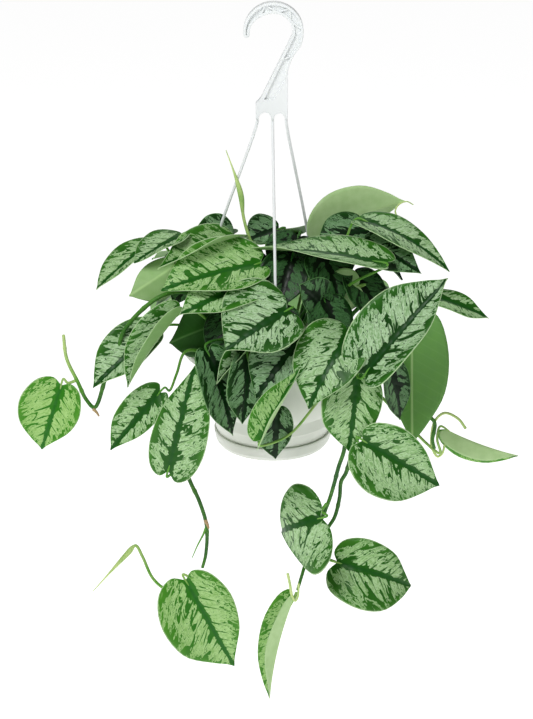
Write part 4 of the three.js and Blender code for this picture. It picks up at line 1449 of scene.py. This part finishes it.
def set_vectors(piece: bpy.types.Object, name: str, values: Array) -> None:
    """Stores a vector for each vertex under an attribute name."""
    attribute = piece.data.attributes.new(name, "FLOAT_VECTOR", "POINT")
    attribute.data.foreach_set("vector", np.asarray(values, dtype=np.float32).ravel())


def set_values(piece: bpy.types.Object, name: str, values: Array) -> None:
    """Stores a number for each vertex under an attribute name."""
    attribute = piece.data.attributes.new(name, "FLOAT", "POINT")
    attribute.data.foreach_set("value", np.asarray(values, dtype=np.float32))


# ---- Stems and shoots ---------------------------------------------------------------


@dataclass(frozen=True)
class Trail:
    """A trailing stem or a shoot, led through points placed from the rim's centre."""

    name: str
    points: tuple[Point, ...]
    radius: float = 1.9
    slot: Slot = Slot.STEM
    ages: tuple[float, float] = (0.0, 0.2)
    ends: float = 0.75
    rolled: float = 0.0


TRAILS = (
    Trail("stem_trail_left", (
        (-30, -18, -6), (-70, -40, 60), (-96, -60, 66), (-128, -62, 36), (-137, -62, 7),
        (-145, -60, -7), (-157, -58, -39), (-164, -57, -32), (-171, -57, -15), (-180, -55, 6),
        (-182, -55, 28)), ages=(0.2, 1.0)),
    Trail("stem_trail_lower_left", (
        (-34, -36, -6), (-60, -70, 10), (-80, -86, -20), (-78, -84, -70), (-74, -84, -95),
        (-65, -84, -118), (-59, -84, -142), (-60, -85, -170), (-63, -87, -182))),
    Trail("stem_trail_lower_right", (
        (24, -34, -6), (46, -66, 20), (58, -88, 0), (60, -88, -30), (62, -87, -64), (57, -84, -85),
        (54, -80, -101), (50, -78, -118), (44, -70, -140), (34, -68, -170), (25, -78, -198),
        (22, -84, -206))),
    Trail("stem_trail_lowest_right", (
        (30, -30, -6), (56, -60, 22), (74, -80, 4), (74, -80, -40), (68, -79, -76), (64, -76, -94),
        (60, -73, -104), (59, -71, -120), (55, -68, -141), (48, -66, -156), (46, -64, -174),
        (48, -62, -184))),
    Trail("stem_trail_right", (
        (40, -20, -6), (84, -36, 50), (104, -44, 10), (115, -45, -42), (130, -45, -49),
        (143, -46, -58), (142, -46, -76), (144, -46, -84))),
    Trail("shoot_spear", (
        (0, -5, -6), (-6, -8, 50), (-14, -10, 90), (-20, -8, 99), (-26, -4, 119), (-28, -2, 137),
        (-32, 0, 152), (-41, 4, 177)), slot=Slot.SHOOT, ages=(0.7, 1.0), ends=0.25, rolled=0.6),
    Trail("shoot_trail_left", (
        (-68, -80, -196), (-84, -72, -212), (-98, -67, -214), (-109, -64, -205), (-118, -62, -184),
        (-124, -60, -174), (-132, -61, -182),
        (-163, -70, -215)), slot=Slot.SHOOT, ages=(0.6, 1.0), ends=0.25, rolled=0.75),
)


@dataclass(frozen=True)
class Trim:
    """A tendril, spur or resting bud too slight for a node: its points, radii and age."""

    name: str
    points: tuple[Point, ...]
    radii: tuple[float, float]
    age: float = 0.9
    dry: bool = False


TRIMS = (
    Trim("tendril_top_right", (
        (117, 48, 96), (113, 47, 101), (110, 47, 108), (113, 47, 114), (120, 47, 117), (126, 47, 114)),
        (1.0, 0.5)),
    Trim("tendril_far_right_loop", (
        (171, -47, -64), (164, -46, -55), (152, -45, -50), (144, -45, -57), (141, -45, -72),
        (142, -45, -84),
        (147, -46, -92), (151, -46, -89), (153, -46, -80)), (1.3, 1.0)),
    Trim("spur_lower_left", (
        (-59, -84, -142), (-62, -85, -150), (-67, -86, -160), (-72, -87, -172)), (1.2, 0.4), age=0.5),
    Trim("shoot_lowest_right", (
        (13, -87, -188), (15, -88, -198), (17, -88, -210), (20, -86, -216), (22, -85, -213),
        (23, -84, -200)),
        (1.3, 1.0)),
    Trim("bud_left", ((-132, -62, 6), (-135, -63, 1), (-138, -64, -2)), (1.7, 0.8), dry=True),
    Trim("bud_lower_left", ((-60, -85, -136), (-58, -86, -140), (-57, -87, -143)), (1.8, 0.8), dry=True),
    Trim("bud_far_left", ((-158, -59, -40), (-155, -60, -43), (-153, -61, -46)), (1.6, 0.7), dry=True),
)


@dataclass
class Stems:
    """The trailing stems, jointed where leaves leave them, and the rolled new shoots."""

    internode: float = 42.0
    first_joint: float = 12.0
    joint_length: float = 1.6
    joint_swell: float = 0.22
    grown_to: float = 0.7
    sides: int = 14

    def __post_init__(self) -> None:
        """Reads the rim's height from the frame."""
        self.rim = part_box("pot")[1][2] / MM

    def build(self, finishes: Finishes) -> None:
        """Makes every stem and shoot in place of its node, then the trims.

        Args:
            finishes: The shared finishes.
        """
        for trail in TRAILS:
            self.build_trail(trail, finishes)
        for trim in TRIMS:
            self.build_trim(trim, finishes)
        LOG.info("stems: %d, trims: %d", len(TRAILS), len(TRIMS))

    def build_trail(self, trail: Trail, finishes: Finishes) -> None:
        """Makes one stem or shoot.

        Args:
            trail: The stem or shoot.
            finishes: The shared finishes.
        """
        steps = np.linspace(0, 1, 12 * len(trail.points))
        path = spline(np.array(trail.points) + [0, 0, self.rim], steps)
        if trail.rolled:
            inside = np.clip((steps - trail.rolled) / (1 - trail.rolled), 0, 1)
            radii = trail.radius * (0.75 + 0.75 * np.sin(np.pi * np.minimum(inside * 1.25, 1)))
            radii *= 1 - 0.75 * inside**2
        else:
            steps_long = np.linalg.norm(np.diff(path, axis=0), axis=1)
            lengths = np.concatenate([[0], np.cumsum(steps_long)])
            past = (lengths + self.first_joint) % self.internode - self.internode / 2
            joints = np.exp(-((past / self.joint_length) ** 2))
            radii = trail.radius * (1 - (1 - trail.ends) * steps**3)
            radii *= 1 + self.joint_swell * joints
        vertices, faces = sweep(path, radii, self.sides)
        piece = new_object(f"{trail.name}_rod", vertices, faces, [finishes.stem])
        late = steps
        if trail.ages[1] > 0.5:
            late = np.clip((steps - self.grown_to) / (1 - self.grown_to), 0, 1)
        ages = trail.ages[0] + (trail.ages[1] - trail.ages[0]) * late
        ages = np.concatenate([np.repeat(ages, self.sides), [ages[0], ages[-1]]])
        set_values(piece, "stem_age", ages)
        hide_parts(trail.name)

    def build_trim(self, trim: Trim, finishes: Finishes) -> None:
        """Makes one tendril, spur or bud.

        Args:
            trim: The tendril, spur or bud.
            finishes: The shared finishes.
        """
        steps = np.linspace(0, 1, 10 * len(trim.points))
        path = spline(np.array(trim.points) + [0, 0, self.rim], steps)
        radii = trim.radii[0] + (trim.radii[1] - trim.radii[0]) * steps
        vertices, faces = sweep(path, radii, self.sides)
        skin = finishes.bud if trim.dry else finishes.stem
        piece = new_object(trim.name, vertices, faces, [skin])
        set_values(piece, "stem_age", np.full(len(vertices), trim.age))


# ---- Studio -------------------------------------------------------------------------


@dataclass
class Studio:
    """The camera, the pale floor and the soft lights."""

    elevation: float = 22.0
    distance: float = 1.8
    focal: float = 100.0
    target: tuple[float, float, float] = (-0.0059, 0.0, -0.315)
    floor_drop: float = 0.35
    sky: float = 0.11
    floor_glow: float = 0.85
    floor_reach: float = 45.0

    def build(self) -> None:
        """Sets the camera, floor and lights."""
        self.place_camera()
        self.lay_floor()
        self.light("key_softbox", (-0.6, -1.1, 1.7), 29.0, 0.9)
        self.light("fill_softbox", (1.4, -1.0, 0.5), 3.0, 1.4)
        self.light("back_softbox", (0.3, 1.4, 1.3), 6.0, 1.2)
        world = bpy.data.worlds.new("white_studio")
        world.use_nodes = True
        world.node_tree.nodes["Background"].inputs[0].default_value = (1.0, 1.0, 1.0, 1.0)
        world.node_tree.nodes["Background"].inputs[1].default_value = self.sky
        bpy.context.scene.world = world
        bpy.context.scene.view_settings.view_transform = "Standard"

    def place_camera(self) -> None:
        """Points the camera at the plant from the front and above."""
        data = bpy.data.cameras.new("camera")
        data.sensor_width = 36.0
        data.lens = self.focal
        data.clip_end = 120.0
        camera = bpy.data.objects.new("camera", data)
        back = np.array(heading(0, self.elevation)) * self.distance
        camera.location = tuple(np.array(self.target) + back)
        camera.rotation_euler = (math.radians(90 - self.elevation), 0.0, 0.0)
        bpy.context.scene.collection.objects.link(camera)
        bpy.context.scene.camera = camera

    def lay_floor(self) -> None:
        """Lays a wide pale floor below the hanging plant."""
        low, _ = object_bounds()
        size, height = self.floor_reach, low[2] - self.floor_drop
        mesh = bpy.data.meshes.new("floor")
        corners = [(x * size, y * size, height) for x, y in ((-1, -1), (1, -1), (1, 1), (-1, 1))]
        mesh.from_pydata(corners, [], [(0, 1, 2, 3)])
        floor = bpy.data.objects.new("floor", mesh)
        material, _, shader = new_material("pale_paper_sweep")
        shader.inputs["Base Color"].default_value = linear("#FFFFFF")
        shader.inputs["Roughness"].default_value = 0.9
        shader.inputs["Emission Color"].default_value = linear("#FFFFFF")
        shader.inputs["Emission Strength"].default_value = self.floor_glow
        mesh.materials.append(material)
        bpy.context.scene.collection.objects.link(floor)
        floor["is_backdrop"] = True

    def light(self, name: str, offset: Point, power: float, size: float) -> None:
        """Adds a soft square light aimed at the target.

        Args:
            name: The light's name.
            offset: Its place from the target, in metres.
            power: Its power in watts.
            size: Its side in metres.
        """
        data = bpy.data.lights.new(name, "AREA")
        data.energy = power
        data.size = size
        lamp = bpy.data.objects.new(name, data)
        place = np.array(self.target) + offset
        lamp.location = tuple(place)
        aim = unit(-np.array(offset))
        yaw = math.atan2(aim[0], -aim[1])
        pitch = math.asin(aim[2])
        lamp.rotation_euler = (pitch + math.pi / 2, 0.0, yaw + math.pi)
        bpy.context.scene.collection.objects.link(lamp)


def main() -> None:
    """Builds the object's pieces around the frame, and the studio."""
    logging.basicConfig(level=logging.INFO, format="%(message)s")
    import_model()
    Studio().build()
    finishes = Finishes()
    HangingPot().build(finishes)
    LOG.info("pot, saucer and soil")
    MouldedHanger().build(finishes)
    LOG.info("hanger")
    Foliage().build(finishes)
    Stems().build(finishes)
    bpy.context.view_layer.update()


if __name__ == "__main__":
    main()
